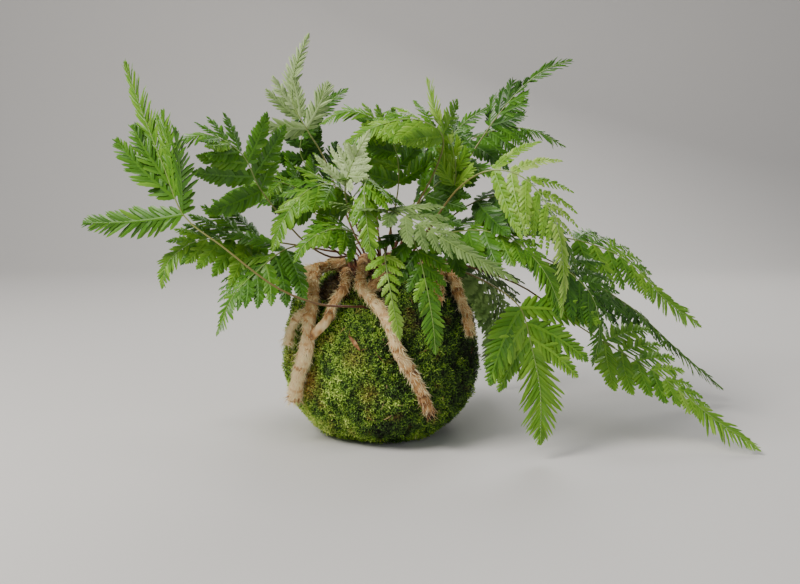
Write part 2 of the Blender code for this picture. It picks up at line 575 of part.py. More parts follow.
def grow(points, faces, foot, outline, thick):
    """Adds a lobed blade to the mesh, from its foot (front and back, each above and below).

    Above and below are split alike: two triangles along the rib for each lobe pair, one for each lobe.
    """
    notches, tips, (point, _, _, level) = outline
    rows, lobes = [foot], []
    for notch, tip in zip(notches, tips):
        for (front, back, up), row in ((notch, rows), (tip, lobes)):
            first = len(points)
            points.extend((front + up * thick, front - up * thick, back + up * thick, back - up * thick))
            row.append((first, first + 1, first + 2, first + 3))
    first = len(points)
    points.extend((point + level * thick, point - level * thick))
    for low, high, tip in zip(rows, rows[1:], lobes):
        for face in (0, 1):
            faces.append((low[face], high[face], high[face + 2]))
            faces.append((low[face], high[face + 2], low[face + 2]))
            faces.append((low[face], tip[face], high[face]))
            faces.append((low[face + 2], tip[face + 2], high[face + 2]))
        for edge in (0, 2):
            for start, stop in ((low, tip), (tip, high)):
                faces.append((start[edge], start[edge + 1], stop[edge + 1]))
                faces.append((start[edge], stop[edge + 1], stop[edge]))
    last = rows[-1]
    faces.extend(((last[0], first, last[2]), (last[1], first + 1, last[3])))
    for edge in (0, 2):
        faces.append((last[edge], last[edge + 1], first + 1))
        faces.append((last[edge], first + 1, first))


def leaflet_shares(frond, pairs):
    """Where each pair of leaflets leaves the blade's rib, as shares of its length, with the terminal last."""
    return [HABITS[frond[7]][2] * (1 - (1 - pair / pairs) ** 1.35) for pair in range(pairs + 1)]


def blade_plan(frond):
    """The blade's length, the lobes of each leaflet pair, and the place on the rib at any share of it."""
    control, start = frond[0], frond[1]
    fine, length = evenly(control, start, len(control) - 1, 300)
    lobes = HABITS[frond[7]][5]
    lobes = lobes if length > LONG_BLADE or len(lobes) < 4 else lobes[:-1]

    def place_at(share):
        return float(np.interp(share, np.linspace(0, 1, 300), fine))

    return length, lobes, place_at


def tree_of(points, faces):
    return BVHTree.FromPolygons([Vector(point) for point in points], faces)


def trial(rib, length, outline, start):
    """A leaflet on its own from this far out, with room to spare round it, to test against its neighbours."""
    here, _, width, level = rib(min(start / length, 0.3))
    thick = BLADE_HALF + 0.0004
    points = [here + width * FOOT + level * thick, here + width * FOOT - level * thick,
              here - width * FOOT + level * thick, here - width * FOOT - level * thick]
    faces = [(0, 1, 2), (2, 1, 3)]
    grow(points, faces, (0, 1, 2, 3), outline, thick)
    return tree_of(points, faces)


def place_leaflets(frond, own, taken):
    """The outline of each leaflet, bent or shortened until it is clear of its own frond and of all taken."""
    length, lobes, place_at = blade_plan(frond)
    shares = leaflet_shares(frond, len(lobes))
    full = HABITS[frond[7]][4]
    placed, trees = {}, []
    for pair, share in enumerate(shares[:-1]):
        middle = place_at(share + FOOT / length)
        angle = leaflet_angle(frond, share)
        room = max(0.5 * (shares[pair + 1] - share) * length * math.sin(angle), 0.0035)
        clear = max(0.0022, (FOOT * math.cos(angle) + 0.0011) / math.sin(angle))
        for side in (1, -1):
            for shorter, lift in ((shorter, lift) for shorter in SHORTER for lift in LIFTS):
                reach, rib = leaflet_rib(frond, middle, side, share, lift, shorter)
                half = full * min(0.25 * reach, room)
                back = 1.0 if pair else 1.4
                outline = lobed_outline(rib, half, lobes[pair], 0.82, back, reach * math.sin(angle))
                tree = trial(rib, reach, outline, clear)
                if not any(tree.overlap(other) for other in own + trees + taken):
                    trees.append(tree)
                    placed[pair, side] = outline
                    break
    return placed, trees


def terminal_outline(frond, place):
    """The lobed tip of the blade, which goes on along the rib's own curve."""
    last = len(frond[0]) - 1

    def rib(part):
        return blade_axes(frond, place + (last - place) * part)

    half = HABITS[frond[7]][3] * evenly(frond[0], frond[1], last, 3)[1]
    return lobed_outline(rib, half, HABITS[frond[7]][6], 0.86)


def rib_ring(points, frond, place, half):
    """Four corners round the stalk or rib: near side above and below, far side above and below."""
    here, _, across, up = blade_axes(frond, place)
    first = len(points)
    for side in (1, -1):
        for above in (1, -1):
            points.append(here + side * across * half + above * up * half)
    return (first, first + 1, first + 2, first + 3)


def join_rings(faces, low, high, open_sides=()):
    """The sides of the rib between two rings. A side that carries a leaflet is left open."""
    pairs = [(0, 2), (3, 1)]
    if 1 not in open_sides:
        pairs.append((1, 0))
    if -1 not in open_sides:
        pairs.append((2, 3))
    for one, two in pairs:
        faces.append((low[one], low[two], high[two]))
        faces.append((low[one], high[two], high[one]))


def build_frond(name, frond, placed):
    """A frond: its stalk and rib as one four-sided rod, whose sides grow into the leaflets."""
    start = frond[1]
    length, lobes, place_at = blade_plan(frond)
    points, faces = [], []
    stalk_steps = max(4, round(1.1 * start))
    stalk = [0.0] + [1 + (start - 1.12) * step / stalk_steps for step in range(stalk_steps + 1)]
    thinning = RIB_HALF - STALK_HALF
    rings = [rib_ring(points, frond, place, STALK_HALF + thinning * place / start) for place in stalk]
    for low, high in zip(rings, rings[1:]):
        join_rings(faces, low, high)
    faces.extend(((rings[0][0], rings[0][1], rings[0][2]), (rings[0][2], rings[0][1], rings[0][3])))
    last = rings[-1]
    shares = leaflet_shares(frond, len(lobes))
    for pair, share in enumerate(shares[:-1]):
        low = rib_ring(points, frond, place_at(share), RIB_HALF)
        high = rib_ring(points, frond, place_at(share + 2 * FOOT / length), RIB_HALF)
        join_rings(faces, last, low)
        bearing = [side for side in (1, -1) if (pair, side) in placed]
        join_rings(faces, low, high, bearing)
        for side in bearing:
            corner = 0 if side == 1 else 2
            foot = (high[corner], high[corner + 1], low[corner], low[corner + 1])
            grow(points, faces, foot, placed[pair, side], BLADE_HALF)
        last = high
    ring = rib_ring(points, frond, place_at(shares[-1]), RIB_HALF)
    join_rings(faces, last, ring)
    grow(points, faces, ring, terminal_outline(frond, place_at(shares[-1])), BLADE_HALF)
    solid = add_solid(name, points, faces, "frond")
    face_outwards(solid)
    return solid


def face_outwards(solid):
    """Turns every face of a closed mesh to look outwards."""
    shape = bmesh.new()
    shape.from_mesh(solid.data)
    bmesh.ops.recalc_face_normals(shape, faces=shape.faces)
    shape.to_mesh(solid.data)
    shape.free()


def bare_frond(frond, half):
    """The stalk, rib and terminal of a frond, a little stout: what its neighbours' leaflets keep clear of."""
    _, lobes, place_at = blade_plan(frond)
    terminal = place_at(leaflet_shares(frond, len(lobes))[-1])
    places, _ = evenly(frond[0], 0.02, terminal, 36)
    points, faces = [], []
    rings = [rib_ring(points, frond, place, half) for place in places]
    for low, high in zip(rings, rings[1:]):
        join_rings(faces, low, high)
    grow(points, faces, rings[-1], terminal_outline(frond, terminal), BLADE_HALF + 0.0002)
    return tree_of(points, faces)


def solid_tree(solid):
    mesh = solid.data
    corners = [vertex.co for vertex in mesh.vertices]
    return BVHTree.FromPolygons(corners, [face.vertices for face in mesh.polygons])


def hole_cutter(frond):
    """A plain round hole for a stalk's foot, along its first straight run."""
    foot, top = Vector(frond[0][0]), Vector(frond[0][1])
    along = (top - foot).normalized()
    low, high = foot - along * GAP * 2, top + along * 0.004
    side = along.orthogonal().normalized()
    other = along.cross(side)
    points = []
    for middle in (low, high):
        for corner in range(5):
            turn = 2 * math.pi * corner / 5
            points.append(middle + HOLE_RADIUS * (math.cos(turn) * side + math.sin(turn) * other))
    faces = ring_faces(2, 5) + [tuple(reversed(range(5))), tuple(range(5, 10))]
    return add_solid("hole", points, faces, "soil")


for left_over in list(bpy.data.objects):
    bpy.data.objects.remove(left_over)

moss = build_moss()
soil = build_soil()
in_moss = ("frond_left_high",)
boolean(soil, "DIFFERENCE", "soil_holes", [hole_cutter(frond) for name, frond in FRONDS.items()])
boolean(moss, "DIFFERENCE", "moss_holes", [hole_cutter(FRONDS[name]) for name in in_moss])
grown = [moss, soil] + [build_rhizome(name, runs) for name, runs in RHIZOMES.items()]

corners = [(-1, -1, 0.0008), (1, -1, 0.0008), (1, 1, 0.0008), (-1, 1, 0.0008)]
ground = BVHTree.FromPolygons(corners, [(0, 1, 2, 3)])
solids = [solid_tree(solid) for solid in grown] + [ground]
bare = {name: bare_frond(frond, STALK_HALF + 0.0004) for name, frond in FRONDS.items()}
leaflets = []
for name, frond in FRONDS.items():
    others = [tree for owner, tree in bare.items() if owner != name]
    placed, trees = place_leaflets(frond, [bare_frond(frond, RIB_HALF)], solids + others + leaflets)
    build_frond(name, frond, placed)
    leaflets.extend(trees)
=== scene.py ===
"""A kokedama dressed: a rabbit's-foot fern in a moss-covered soil ball, on a pale floor.

Metres, +Z up, -Y the front, in the same frame as the CAD nodes that it replaces. The sections follow the
plant as it is put together: the view, the moss, the soil, the rhizomes, the scales of the crown, the litter
on the moss and the fronds.
"""

import math
from collections import namedtuple

import bpy
import numpy as np
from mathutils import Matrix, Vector
from mathutils.bvhtree import BVHTree


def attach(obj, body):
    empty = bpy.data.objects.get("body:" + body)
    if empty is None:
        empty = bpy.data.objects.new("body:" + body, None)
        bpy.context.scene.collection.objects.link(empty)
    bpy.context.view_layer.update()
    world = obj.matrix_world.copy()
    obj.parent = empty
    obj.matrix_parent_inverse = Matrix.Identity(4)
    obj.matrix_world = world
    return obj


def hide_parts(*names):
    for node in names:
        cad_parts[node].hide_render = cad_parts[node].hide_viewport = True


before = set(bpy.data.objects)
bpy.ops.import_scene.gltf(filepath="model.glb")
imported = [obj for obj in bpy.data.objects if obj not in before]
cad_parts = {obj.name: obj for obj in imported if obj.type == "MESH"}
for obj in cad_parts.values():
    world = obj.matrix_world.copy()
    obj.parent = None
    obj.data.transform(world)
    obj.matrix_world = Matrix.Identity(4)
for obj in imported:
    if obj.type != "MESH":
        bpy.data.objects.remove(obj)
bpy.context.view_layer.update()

# ---------------------------------------------------------------------------------------------------------
# The view: a camera a little above the crown and level with the ball's front, a large soft light from the
# upper left, a weaker one from the right, and a plain pale floor that curves up into a backdrop. The camera
# looks down by CAMERA_DOWN degrees.

LENS = 41.5
SENSOR_WIDTH = 36
CAMERA_PLACE = (0.013, -0.62, 0.177)
CAMERA_DOWN = 7.53
SKY_COLOUR = (0.80, 0.83, 0.88, 1)
SKY_STRENGTH = 0.30
FLOOR_COLOUR = (0.62, 0.60, 0.58)
FLOOR_FRONT = -1.6
FLOOR_BACK = 1.0
FLOOR_HALF_WIDTH = 2.6
FLOOR_CURVE = 0.45
WALL_HEIGHT = 2.2

# Each light: its place, the point it looks at, its size, its power and its colour.
LIGHTS = {
    "key": ((-0.75, -0.55, 1.05), (0, 0, 0.10), 0.50, 24, (1.0, 0.97, 0.92)),
    "fill": ((1.1, -0.9, 0.7), (0, 0, 0.12), 1.1, 4, (0.93, 0.96, 1.0)),
    "rim": ((0.35, 1.0, 0.9), (0, 0, 0.14), 0.7, 9, (1.0, 0.99, 0.95)),
}

camera = bpy.data.objects.new("camera", bpy.data.cameras.new("camera"))
camera.data.lens = LENS
camera.data.sensor_width = SENSOR_WIDTH
camera.data.clip_start = 0.01
camera.location = CAMERA_PLACE
camera.rotation_euler = (math.radians(90 - CAMERA_DOWN), 0, 0)
bpy.context.scene.collection.objects.link(camera)
bpy.context.scene.camera = camera


def add_light(name, place, target, size, power, colour):
    """A square area lamp at this place that looks at the target."""
    lamp = bpy.data.objects.new(name, bpy.data.lights.new(name, "AREA"))
    lamp.data.size = size
    lamp.data.energy = power
    lamp.data.color = colour
    lamp.location = place
    lamp.rotation_euler = (Vector(target) - Vector(place)).to_track_quat("-Z", "Y").to_euler()
    bpy.context.scene.collection.objects.link(lamp)


for light_name, light_values in LIGHTS.items():
    add_light(light_name, *light_values)

world = bpy.data.worlds.new("soft sky")
world.use_nodes = True
world.node_tree.nodes["Background"].inputs["Color"].default_value = SKY_COLOUR
world.node_tree.nodes["Background"].inputs["Strength"].default_value = SKY_STRENGTH
bpy.context.scene.world = world


def principled(name, colour, roughness):
    """A material and its Principled shader, with these values on the shader's own sockets."""
    made = bpy.data.materials.new(name)
    made.use_nodes = True
    shader = made.node_tree.nodes["Principled BSDF"]
    shader.inputs["Base Color"].default_value = (*colour, 1)
    shader.inputs["Roughness"].default_value = roughness
    return made, shader


def add_mesh(name, points, faces, materials, face_material=None, values=None, smooth=True):
    """A mesh object from arrays: points (n, 3), faces as a list of (m, 3) or (m, 4) index arrays.

    values are named numbers, one for each point, that the material reads as attributes.
    """
    mesh = bpy.data.meshes.new(name)
    sizes = np.concatenate([np.full(len(block), block.shape[1]) for block in faces])
    corners = np.concatenate([block.ravel() for block in faces])
    mesh.vertices.add(len(points))
    mesh.vertices.foreach_set("co", np.ascontiguousarray(points, np.float32).ravel())
    mesh.loops.add(len(corners))
    mesh.loops.foreach_set("vertex_index", corners.astype(np.int32))
    mesh.polygons.add(len(sizes))
    mesh.polygons.foreach_set("loop_start", (np.cumsum(sizes) - sizes).astype(np.int32))
    if face_material is not None:
        mesh.polygons.foreach_set("material_index", np.asarray(face_material, np.int32))
    for material in materials:
        mesh.materials.append(material)
    for key, numbers in (values or {}).items():
        layer = mesh.attributes.new(key, "FLOAT", "POINT")
        layer.data.foreach_set("value", np.asarray(numbers, np.float32))
    mesh.update(calc_edges=True)
    mesh.polygons.foreach_set("use_smooth", np.full(len(sizes), smooth))
    made = bpy.data.objects.new(name, mesh)
    bpy.context.scene.collection.objects.link(made)
    return made


def sweep_floor():
    """A flat floor that curves up into a wall at the back: one profile, carried sideways."""
    turn = np.linspace(0, math.pi / 2, 12)
    wall = FLOOR_BACK + FLOOR_CURVE
    depth = np.concatenate([[FLOOR_FRONT], FLOOR_BACK + FLOOR_CURVE * np.sin(turn), [wall]])
    height = np.concatenate([[0.0], FLOOR_CURVE * (1 - np.cos(turn)), [WALL_HEIGHT]])
    across = np.array([-FLOOR_HALF_WIDTH, FLOOR_HALF_WIDTH])
    points = np.array([(x, y, z) for y, z in zip(depth, height) for x in across])
    rows = np.arange(len(depth) - 1) * 2
    faces = np.stack([rows, rows + 1, rows + 3, rows + 2], axis=1)
    material, _ = principled("pale floor", FLOOR_COLOUR, 0.75)
    floor = add_mesh("floor", points, [faces], [material])


sweep_floor()

# ---------------------------------------------------------------------------------------------------------
# The moss wrap: sheets of living cushion moss pressed round the ball, open at the top. The skin is one
# lumpy surface that turns over at the rim, and it is covered in small star-shaped shoots in two pieces.
# Places round the ball are in degrees from the right, and -90 is the front.

BALL_RADIUS = 0.0635
BALL_MIDDLE = 0.058
BALL_HALF_HEIGHT = 0.0615
BALL_POWER = 2.2
BALL_LOW_POWER = 2.5
SHOULDER_SLOPE = 0.21
SHOULDER_MIDDLE = 188
SHOULDER_WIDTH = 42
SHOULDER_FOOT = 0.088
SHOULDER_RISE = 0.015
CROWN_RADIUS = 0.028
CROWN_EDGE = 0.012
RIM_HEIGHT = 0.108
RIM_DIP = 0.009
RIM_DIP_MIDDLE = -128
RIM_DIP_WIDTH = 34
RIM_WAVE = 0.0015
LIP_RISE = 0.0028
INSIDE_RUN = 0.25
INSIDE_DEPTH = 0.012
INSIDE_SPREAD = 0.004
# The hollow at the front left, where painted shade darkens the moss: its middle and width in degrees round
# the ball, and the height where it starts.
HOLLOW_MIDDLE = -136
HOLLOW_WIDTH = 25
HOLLOW_FOOT = 0.0915
MOSS_THICKNESS = 0.008
MOSS_LUMP = 0.0011
SKIN_ROWS = 96
SKIN_COLUMNS = 200

# The shoots of each piece, and where they grow, as the runs of moss_surface. The leaves are those of one
# shoot, and they lean off its axis by degrees, the innermost least. Other pairs are the least and the most.
MOSS_SHOOTS = 7800
SHOOT_RUNS = (0.012, 1.16)
SHOOT_HEIGHTS = (0.0004, 0.0016)
MOSS_LEAVES = 5
MOSS_LEAF_HALF_WIDTH = 0.00038
MOSS_LEAF_LENGTHS = (0.0014, 0.0027)
MOSS_LEAF_LEANS = (22, 78)

# Worn and orange patches: degrees round the ball, height, size and strength.
MOSS_PATCHES = ((-133, 0.046, 0.007, 0.36), (-137, 0.038, 0.006, 0.34), (-104, 0.062, 0.007, 0.16),
                (-96, 0.040, 0.006, 0.20), (-72, 0.083, 0.006, 0.12), (-152, 0.056, 0.006, 0.18))


def ball_radius(height):
    """Radius of the smooth ball at each height: one superellipse above the middle and one below."""
    reach = np.minimum(np.abs((height - BALL_MIDDLE) / BALL_HALF_HEIGHT), 0.999)
    power = np.where(height > BALL_MIDDLE, BALL_POWER, BALL_LOW_POWER)
    return BALL_RADIUS * (1 - reach**power) ** (1 / power)


def degrees_from(middle, degrees):
    """Degrees round the ball from a middle, between -180 and 180."""
    return (degrees - middle + 180) % 360 - 180


def sloped(radius, angle, height):
    """The radius with the left shoulder sloping in: more so higher up, and not near the crown."""
    away = degrees_from(SHOULDER_MIDDLE, np.degrees(angle))
    rise = np.clip((height - SHOULDER_FOOT) / SHOULDER_RISE, 0, 1)
    out = np.clip((radius - CROWN_RADIUS) / CROWN_EDGE, 0, 1)
    fall = np.exp(-((away / SHOULDER_WIDTH) ** 2)) * rise**2 * (3 - 2 * rise) * out
    return radius * (1 - SHOULDER_SLOPE * fall)


def lump(angle, height):
    """Low cushions of the moss: two crossed waves round the ball."""
    return np.sin(4 * angle + 70 * height) + 0.7 * np.sin(7 * angle - 95 * height + 1.3)


def rim_height(angle):
    """Top edge of the moss, with a dip at the front left where the soil shows."""
    dip = np.exp(-((degrees_from(RIM_DIP_MIDDLE, np.degrees(angle)) / RIM_DIP_WIDTH) ** 2))
    return RIM_HEIGHT - RIM_DIP * dip + RIM_WAVE * np.sin(3 * angle + 0.5)


def cloud(points, size, seed):
    """Smooth noise from -1 to 1 in lumps of this size: random values on a lattice, blended along each axis.

    The lattice takes its values from a table of 4096, which three primes pick from.
    """
    table = np.random.default_rng(seed).uniform(-1, 1, 4096)
    cell = np.asarray(points) / size
    low = np.floor(cell).astype(np.int64)
    part = cell - low
    part = part * part * (3 - 2 * part)
    total = 0.0
    for corner in range(8):
        step = np.array([corner & 1, corner >> 1 & 1, corner >> 2 & 1])
        place = low + step
        value = table[(place[..., 0] * 73 + place[..., 1] * 179 + place[..., 2] * 283) % 4096]
        weight = np.where(step == 1, part, 1 - part).prod(axis=-1)
        total = total + value * weight
    return total


def moss_surface(angle, run):
    """Points of the moss skin. run goes from 0 at the flat spot to 1 at the rim, and on by INSIDE_RUN.

    Outside the rim the height is a share of the rim's own height. Past 1 the skin rolls over a rounded lip
    and goes down inside. Lumps of three sizes push it outwards.
    """
    rim = rim_height(angle)
    outside = np.minimum(run, 1.0)
    inside = np.clip((run - 1) / INSIDE_RUN, 0, 1)
    height = outside * rim
    roll = np.clip(inside * 2, 0, 1) * math.pi
    middle = ball_radius(rim) - MOSS_THICKNESS / 2
    radius = np.where(run <= 1, ball_radius(height), middle + MOSS_THICKNESS / 2 * np.cos(roll))
    drop = np.clip(inside * 2 - 1, 0, 1)
    height = np.where(run <= 1, height, rim + LIP_RISE * np.sin(roll) - INSIDE_DEPTH * drop)
    radius = radius + INSIDE_SPREAD * drop
    rough = np.stack([radius * np.cos(angle), radius * np.sin(angle), height], axis=-1)
    fade = np.clip(outside / 0.03, 0, 1) * (1 - inside)
    grown = MOSS_LUMP * lump(angle, height) + 0.0013 * cloud(rough, 0.010, 1)
    grown = grown + 0.0012 * cloud(rough, 0.0050, 2)
    radius = sloped(radius + fade * grown, angle, height)
    height = height + 0.0006 * cloud(rough, 0.006, 3) * np.clip(outside / 0.05, 0, 1)
    return np.stack([radius * np.cos(angle), radius * np.sin(angle), np.maximum(height, 0)], axis=-1)


def surface_normals(surface, angle, run):
    """Outward directions of a surface of two parameters, from its two slopes."""
    small = 0.004
    one = surface(angle + small, run) - surface(angle - small, run)
    two = surface(angle, run + small) - surface(angle, run - small)
    normal = np.cross(one, two)
    return normal / np.linalg.norm(normal, axis=-1)[..., None]


def grid_faces(rows, columns, closed=True):
    """Quads of a grid of rows by columns, joined round where closed."""
    last = columns if closed else columns - 1
    row, column = np.meshgrid(np.arange(rows - 1), np.arange(last), indexing="ij")
    after = (column + 1) % columns
    return np.stack([row * columns + column, row * columns + after,
                     (row + 1) * columns + after, (row + 1) * columns + column], axis=-1).reshape(-1, 4)


def shade_by(made, shader, key, stops):
    """Colours the shader from a point attribute through a ramp of (position, colour) stops."""
    nodes, links = made.node_tree.nodes, made.node_tree.links
    source = nodes.new("ShaderNodeAttribute")
    source.attribute_name = key
    ramp = nodes.new("ShaderNodeValToRGB")
    while len(ramp.color_ramp.elements) < len(stops):
        ramp.color_ramp.elements.new(0.5)
    for element, (position, colour) in zip(ramp.color_ramp.elements, stops):
        element.position = position
        element.color = (*colour, 1)
    links.new(source.outputs["Fac"], ramp.inputs["Fac"])
    links.new(ramp.outputs["Color"], shader.inputs["Base Color"])
    return ramp


def stain(made, shader, ramp, key, colour):
    """Mixes a stain colour over the ramp's colour, by a second point attribute."""
    nodes, links = made.node_tree.nodes, made.node_tree.links
    amount = nodes.new("ShaderNodeAttribute")
    amount.attribute_name = key
    mix = nodes.new("ShaderNodeMixRGB")
    mix.inputs["Color2"].default_value = (*colour, 1)
    links.new(amount.outputs["Fac"], mix.inputs["Fac"])
    links.new(ramp.outputs["Color"], mix.inputs["Color1"])
    links.new(mix.outputs["Color"], shader.inputs["Base Color"])
    return mix


def let_light_through(made, shader, share, colour_from):
    """Mixes some Translucent shading of the same colour into a Principled material, as in a thin leaf."""
    nodes, links = made.node_tree.nodes, made.node_tree.links
    thin = nodes.new("ShaderNodeBsdfTranslucent")
    links.new(colour_from.outputs["Color"], thin.inputs["Color"])
    mix = nodes.new("ShaderNodeMixShader")
    mix.inputs["Fac"].default_value = share
    links.new(shader.outputs["BSDF"], mix.inputs[1])
    links.new(thin.outputs["BSDF"], mix.inputs[2])
    links.new(mix.outputs["Shader"], nodes["Material Output"].inputs["Surface"])


MOSS_TONES = (
    (0.00, (0.008, 0.012, 0.003)),
    (0.24, (0.030, 0.068, 0.008)),
    (0.48, (0.115, 0.265, 0.022)),
    (0.74, (0.400, 0.640, 0.060)),
    (1.00, (0.840, 0.960, 0.240)),
)
# The dry stain of the shoots, and that of the skin, which is darker: painted shade in the gaps between the
# shoots.
DRY_MOSS = (0.52, 0.27, 0.05)
SHADED_DRY_SKIN = (0.10, 0.05, 0.02)


def moss_tone(points):
    """How bright the moss is at each point, 0 dark to 1 bright: how fresh it is, in patches of three sizes,
    with painted light and shade over it.

    It is lighter low on the left, which is painted light, and darker to the right, at the bottom middle and
    in the hollow, which is painted shade.
    """
    patches = 0.46 + 0.20 * cloud(points, 0.014, 11) + 0.20 * cloud(points, 0.0055, 12)
    patches = patches + 0.12 * cloud(points, 0.0026, 14)
    # Painted light low on the left, and painted shade to the right and at the bottom middle.
    painted_light_low_left = np.clip((-points[..., 0] - points[..., 2] + 0.10) / 0.16, -0.3, 1)
    painted_shade_right = np.clip((points[..., 0] + 0.012) / 0.05, 0, 1)
    shaded = 0.36 * np.exp(-((points[..., 0] - 0.006) / 0.016) ** 2 - ((points[..., 2] - 0.014) / 0.012) ** 2)
    return patches + 0.03 + 0.26 * painted_light_low_left - 0.19 * painted_shade_right - shaded - 0.9 * hollow(points)


def hollow(points):
    """How far each point lies in the dark hollow at the front left, where the moss stops at the soil.

    The darkness there is painted shade on the moss.
    """
    angle = np.degrees(np.arctan2(points[..., 1], points[..., 0]))
    near = np.exp(-(((angle - HOLLOW_MIDDLE) / HOLLOW_WIDTH) ** 4))
    return near * np.clip((points[..., 2] - HOLLOW_FOOT) / 0.004, 0, 1)


def moss_dryness_and_shade(points):
    """How brown or orange the moss is at each point, from 0 to 1: a few worn patches and specks, and painted
    shade in the hollow.
    """
    angle, height = np.degrees(np.arctan2(points[..., 1], points[..., 0])), points[..., 2]
    # The hollow's share of this stain is painted shade.
    dry = np.clip(0.9 * cloud(points, 0.006, 15) - 0.42, 0, 1) + 0.2 * hollow(points)
    for middle, level, size, amount in MOSS_PATCHES:
        away = np.radians(degrees_from(middle, angle)) * BALL_RADIUS
        dry = dry + 2.4 * amount * np.exp(-((away / size) ** 2) - ((height - level) / size) ** 2)
    return np.clip(dry, 0, 0.85)


def build_moss():
    """The skin, and the shoots that cover it."""
    run = np.concatenate([[0.0], np.linspace(0.004, 1 + INSIDE_RUN, SKIN_ROWS - 1)])
    angle = np.linspace(0, 2 * math.pi, SKIN_COLUMNS, endpoint=False)
    points = moss_surface(angle[None, :], run[:, None]).reshape(-1, 3)
    points = np.vstack([points, [[0, 0, 0]]])
    edge = np.arange(SKIN_COLUMNS)
    bottom = np.stack([np.roll(edge, -1), edge, np.full(SKIN_COLUMNS, len(points) - 1)], axis=1)
    skin_material, shader = principled("moss skin", (0.04, 0.06, 0.01), 1.0)
    ramp = shade_by(skin_material, shader, "tone", MOSS_TONES)
    stain(skin_material, shader, ramp, "dry", SHADED_DRY_SKIN)
    # The skin shows only in the gaps between the shoots, and its tone is halved and lowered: painted shade in
    # those gaps.
    tone = 0.50 * moss_tone(points) - 0.08 + 0.10 * cloud(points, 0.0016, 13)
    skin = add_mesh("moss_skin", points, [grid_faces(SKIN_ROWS, SKIN_COLUMNS), bottom], [skin_material],
                    values={"tone": tone, "dry": moss_dryness_and_shade(points)})
    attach(skin, "root")
    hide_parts("moss_wrap")
    leaf_material, shader = principled("moss shoots", (0.1, 0.2, 0.02), 0.62)
    ramp = shade_by(leaf_material, shader, "tone", MOSS_TONES)
    let_light_through(leaf_material, shader, 0.25, stain(leaf_material, shader, ramp, "dry", DRY_MOSS))
    for index in range(2):
        shoots = moss_shoots(f"moss_shoots_{index + 1}", index, leaf_material)
        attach(shoots, "root")


def moss_shoots(name, index, material):
    """Star-shaped shoots spread evenly over the skin: even steps of area upwards, the golden angle round.

    Each leaf is a closed sliver of four faces, bent over its middle, that leans out from the shoot's axis.
    """
    random = np.random.default_rng(40 + index)
    grid = (MOSS_SHOOTS, MOSS_LEAVES)
    levels = np.linspace(*SHOOT_RUNS, 400)
    section = moss_surface(np.zeros(len(levels)), levels)
    ring = np.linalg.norm(section[:, :2], axis=1)
    step = np.linalg.norm(np.diff(section, axis=0), axis=1)
    area = np.concatenate([[0], np.cumsum(step * (ring[1:] + ring[:-1]) / 2)])
    order = (np.arange(MOSS_SHOOTS) + 0.5 * index) / MOSS_SHOOTS
    run = np.interp(order * area[-1], area, levels)
    spiral = np.arange(MOSS_SHOOTS) * math.pi * (3 - math.sqrt(5)) + 1.1 * index
    angle = (spiral + random.normal(0, 0.012, MOSS_SHOOTS)) % (2 * math.pi)
    foot = moss_surface(angle, run)
    normal = surface_normals(moss_surface, angle, run)
    side = np.cross(normal, random.normal(size=(MOSS_SHOOTS, 3)))
    side /= np.linalg.norm(side, axis=1)[:, None]
    other = np.cross(normal, side)
    axis = normal + 0.35 * random.normal(size=(MOSS_SHOOTS, 1)) * side + np.array((0, 0, 0.15))
    axis /= np.linalg.norm(axis, axis=1)[:, None]
    cushion = cloud(foot, 0.0042, 16)
    tall = random.uniform(*SHOOT_HEIGHTS, MOSS_SHOOTS) + 0.0011 * np.clip(cushion + 0.25, 0, 1)
    turn = (np.arange(MOSS_LEAVES) * 2.4)[None, :] + random.uniform(0, 6.28, (MOSS_SHOOTS, 1))
    lean = np.radians(np.linspace(*MOSS_LEAF_LEANS, MOSS_LEAVES))[None, :] + random.normal(0, 0.12, grid)
    length = random.uniform(*MOSS_LEAF_LENGTHS, grid)[..., None]
    out = np.cos(turn)[..., None] * side[:, None] + np.sin(turn)[..., None] * other[:, None]
    across = np.cross(out, axis[:, None])
    up = axis[:, None]
    start = foot[:, None] + up * tall[:, None, None] * np.linspace(1, 0.2, MOSS_LEAVES)[None, :, None]
    ahead = np.cos(lean)[..., None] * up + np.sin(lean)[..., None] * out
    middle = start + 0.5 * length * ahead
    tip = start + length * (ahead + 0.22 * out - 0.10 * up)
    wide = MOSS_LEAF_HALF_WIDTH * across
    points = np.stack([start, middle + wide, middle - wide, tip], axis=2)
    points[..., 2] = np.maximum(points[..., 2], 0.0002)
    first = np.arange(MOSS_SHOOTS * MOSS_LEAVES)[:, None] * 4
    faces = np.concatenate([first + [0, 1, 2], first + [1, 3, 2], first + [0, 2, 3], first + [0, 3, 1]])
    tone = (moss_tone(foot) + 0.16 * cushion)[:, None] + random.normal(0, 0.09, (MOSS_SHOOTS, 1))
    tone = tone + np.linspace(0.10, -0.22, MOSS_LEAVES)[None, :] + random.normal(0, 0.05, grid)
    tone = tone[..., None] + np.array([-0.20, 0.0, 0.0, 0.14])
    dry = np.repeat(moss_dryness_and_shade(foot) * random.uniform(0.4, 1.3, MOSS_SHOOTS), MOSS_LEAVES * 4)
    values = {"tone": tone.ravel(), "dry": dry}
    return add_mesh(name, points.reshape(-1, 3), [faces], [material], values=values, smooth=False)


build_moss()

# ---------------------------------------------------------------------------------------------------------
# The soil: dark, crumbly and moist, heaped in a low dome under the crown. It shows at the front left, where
# the moss rim dips. Loose crumbs lie on it. The profile goes from the dome's top to its bottom, and its
# first part, SOIL_OPEN of its length, is rough.

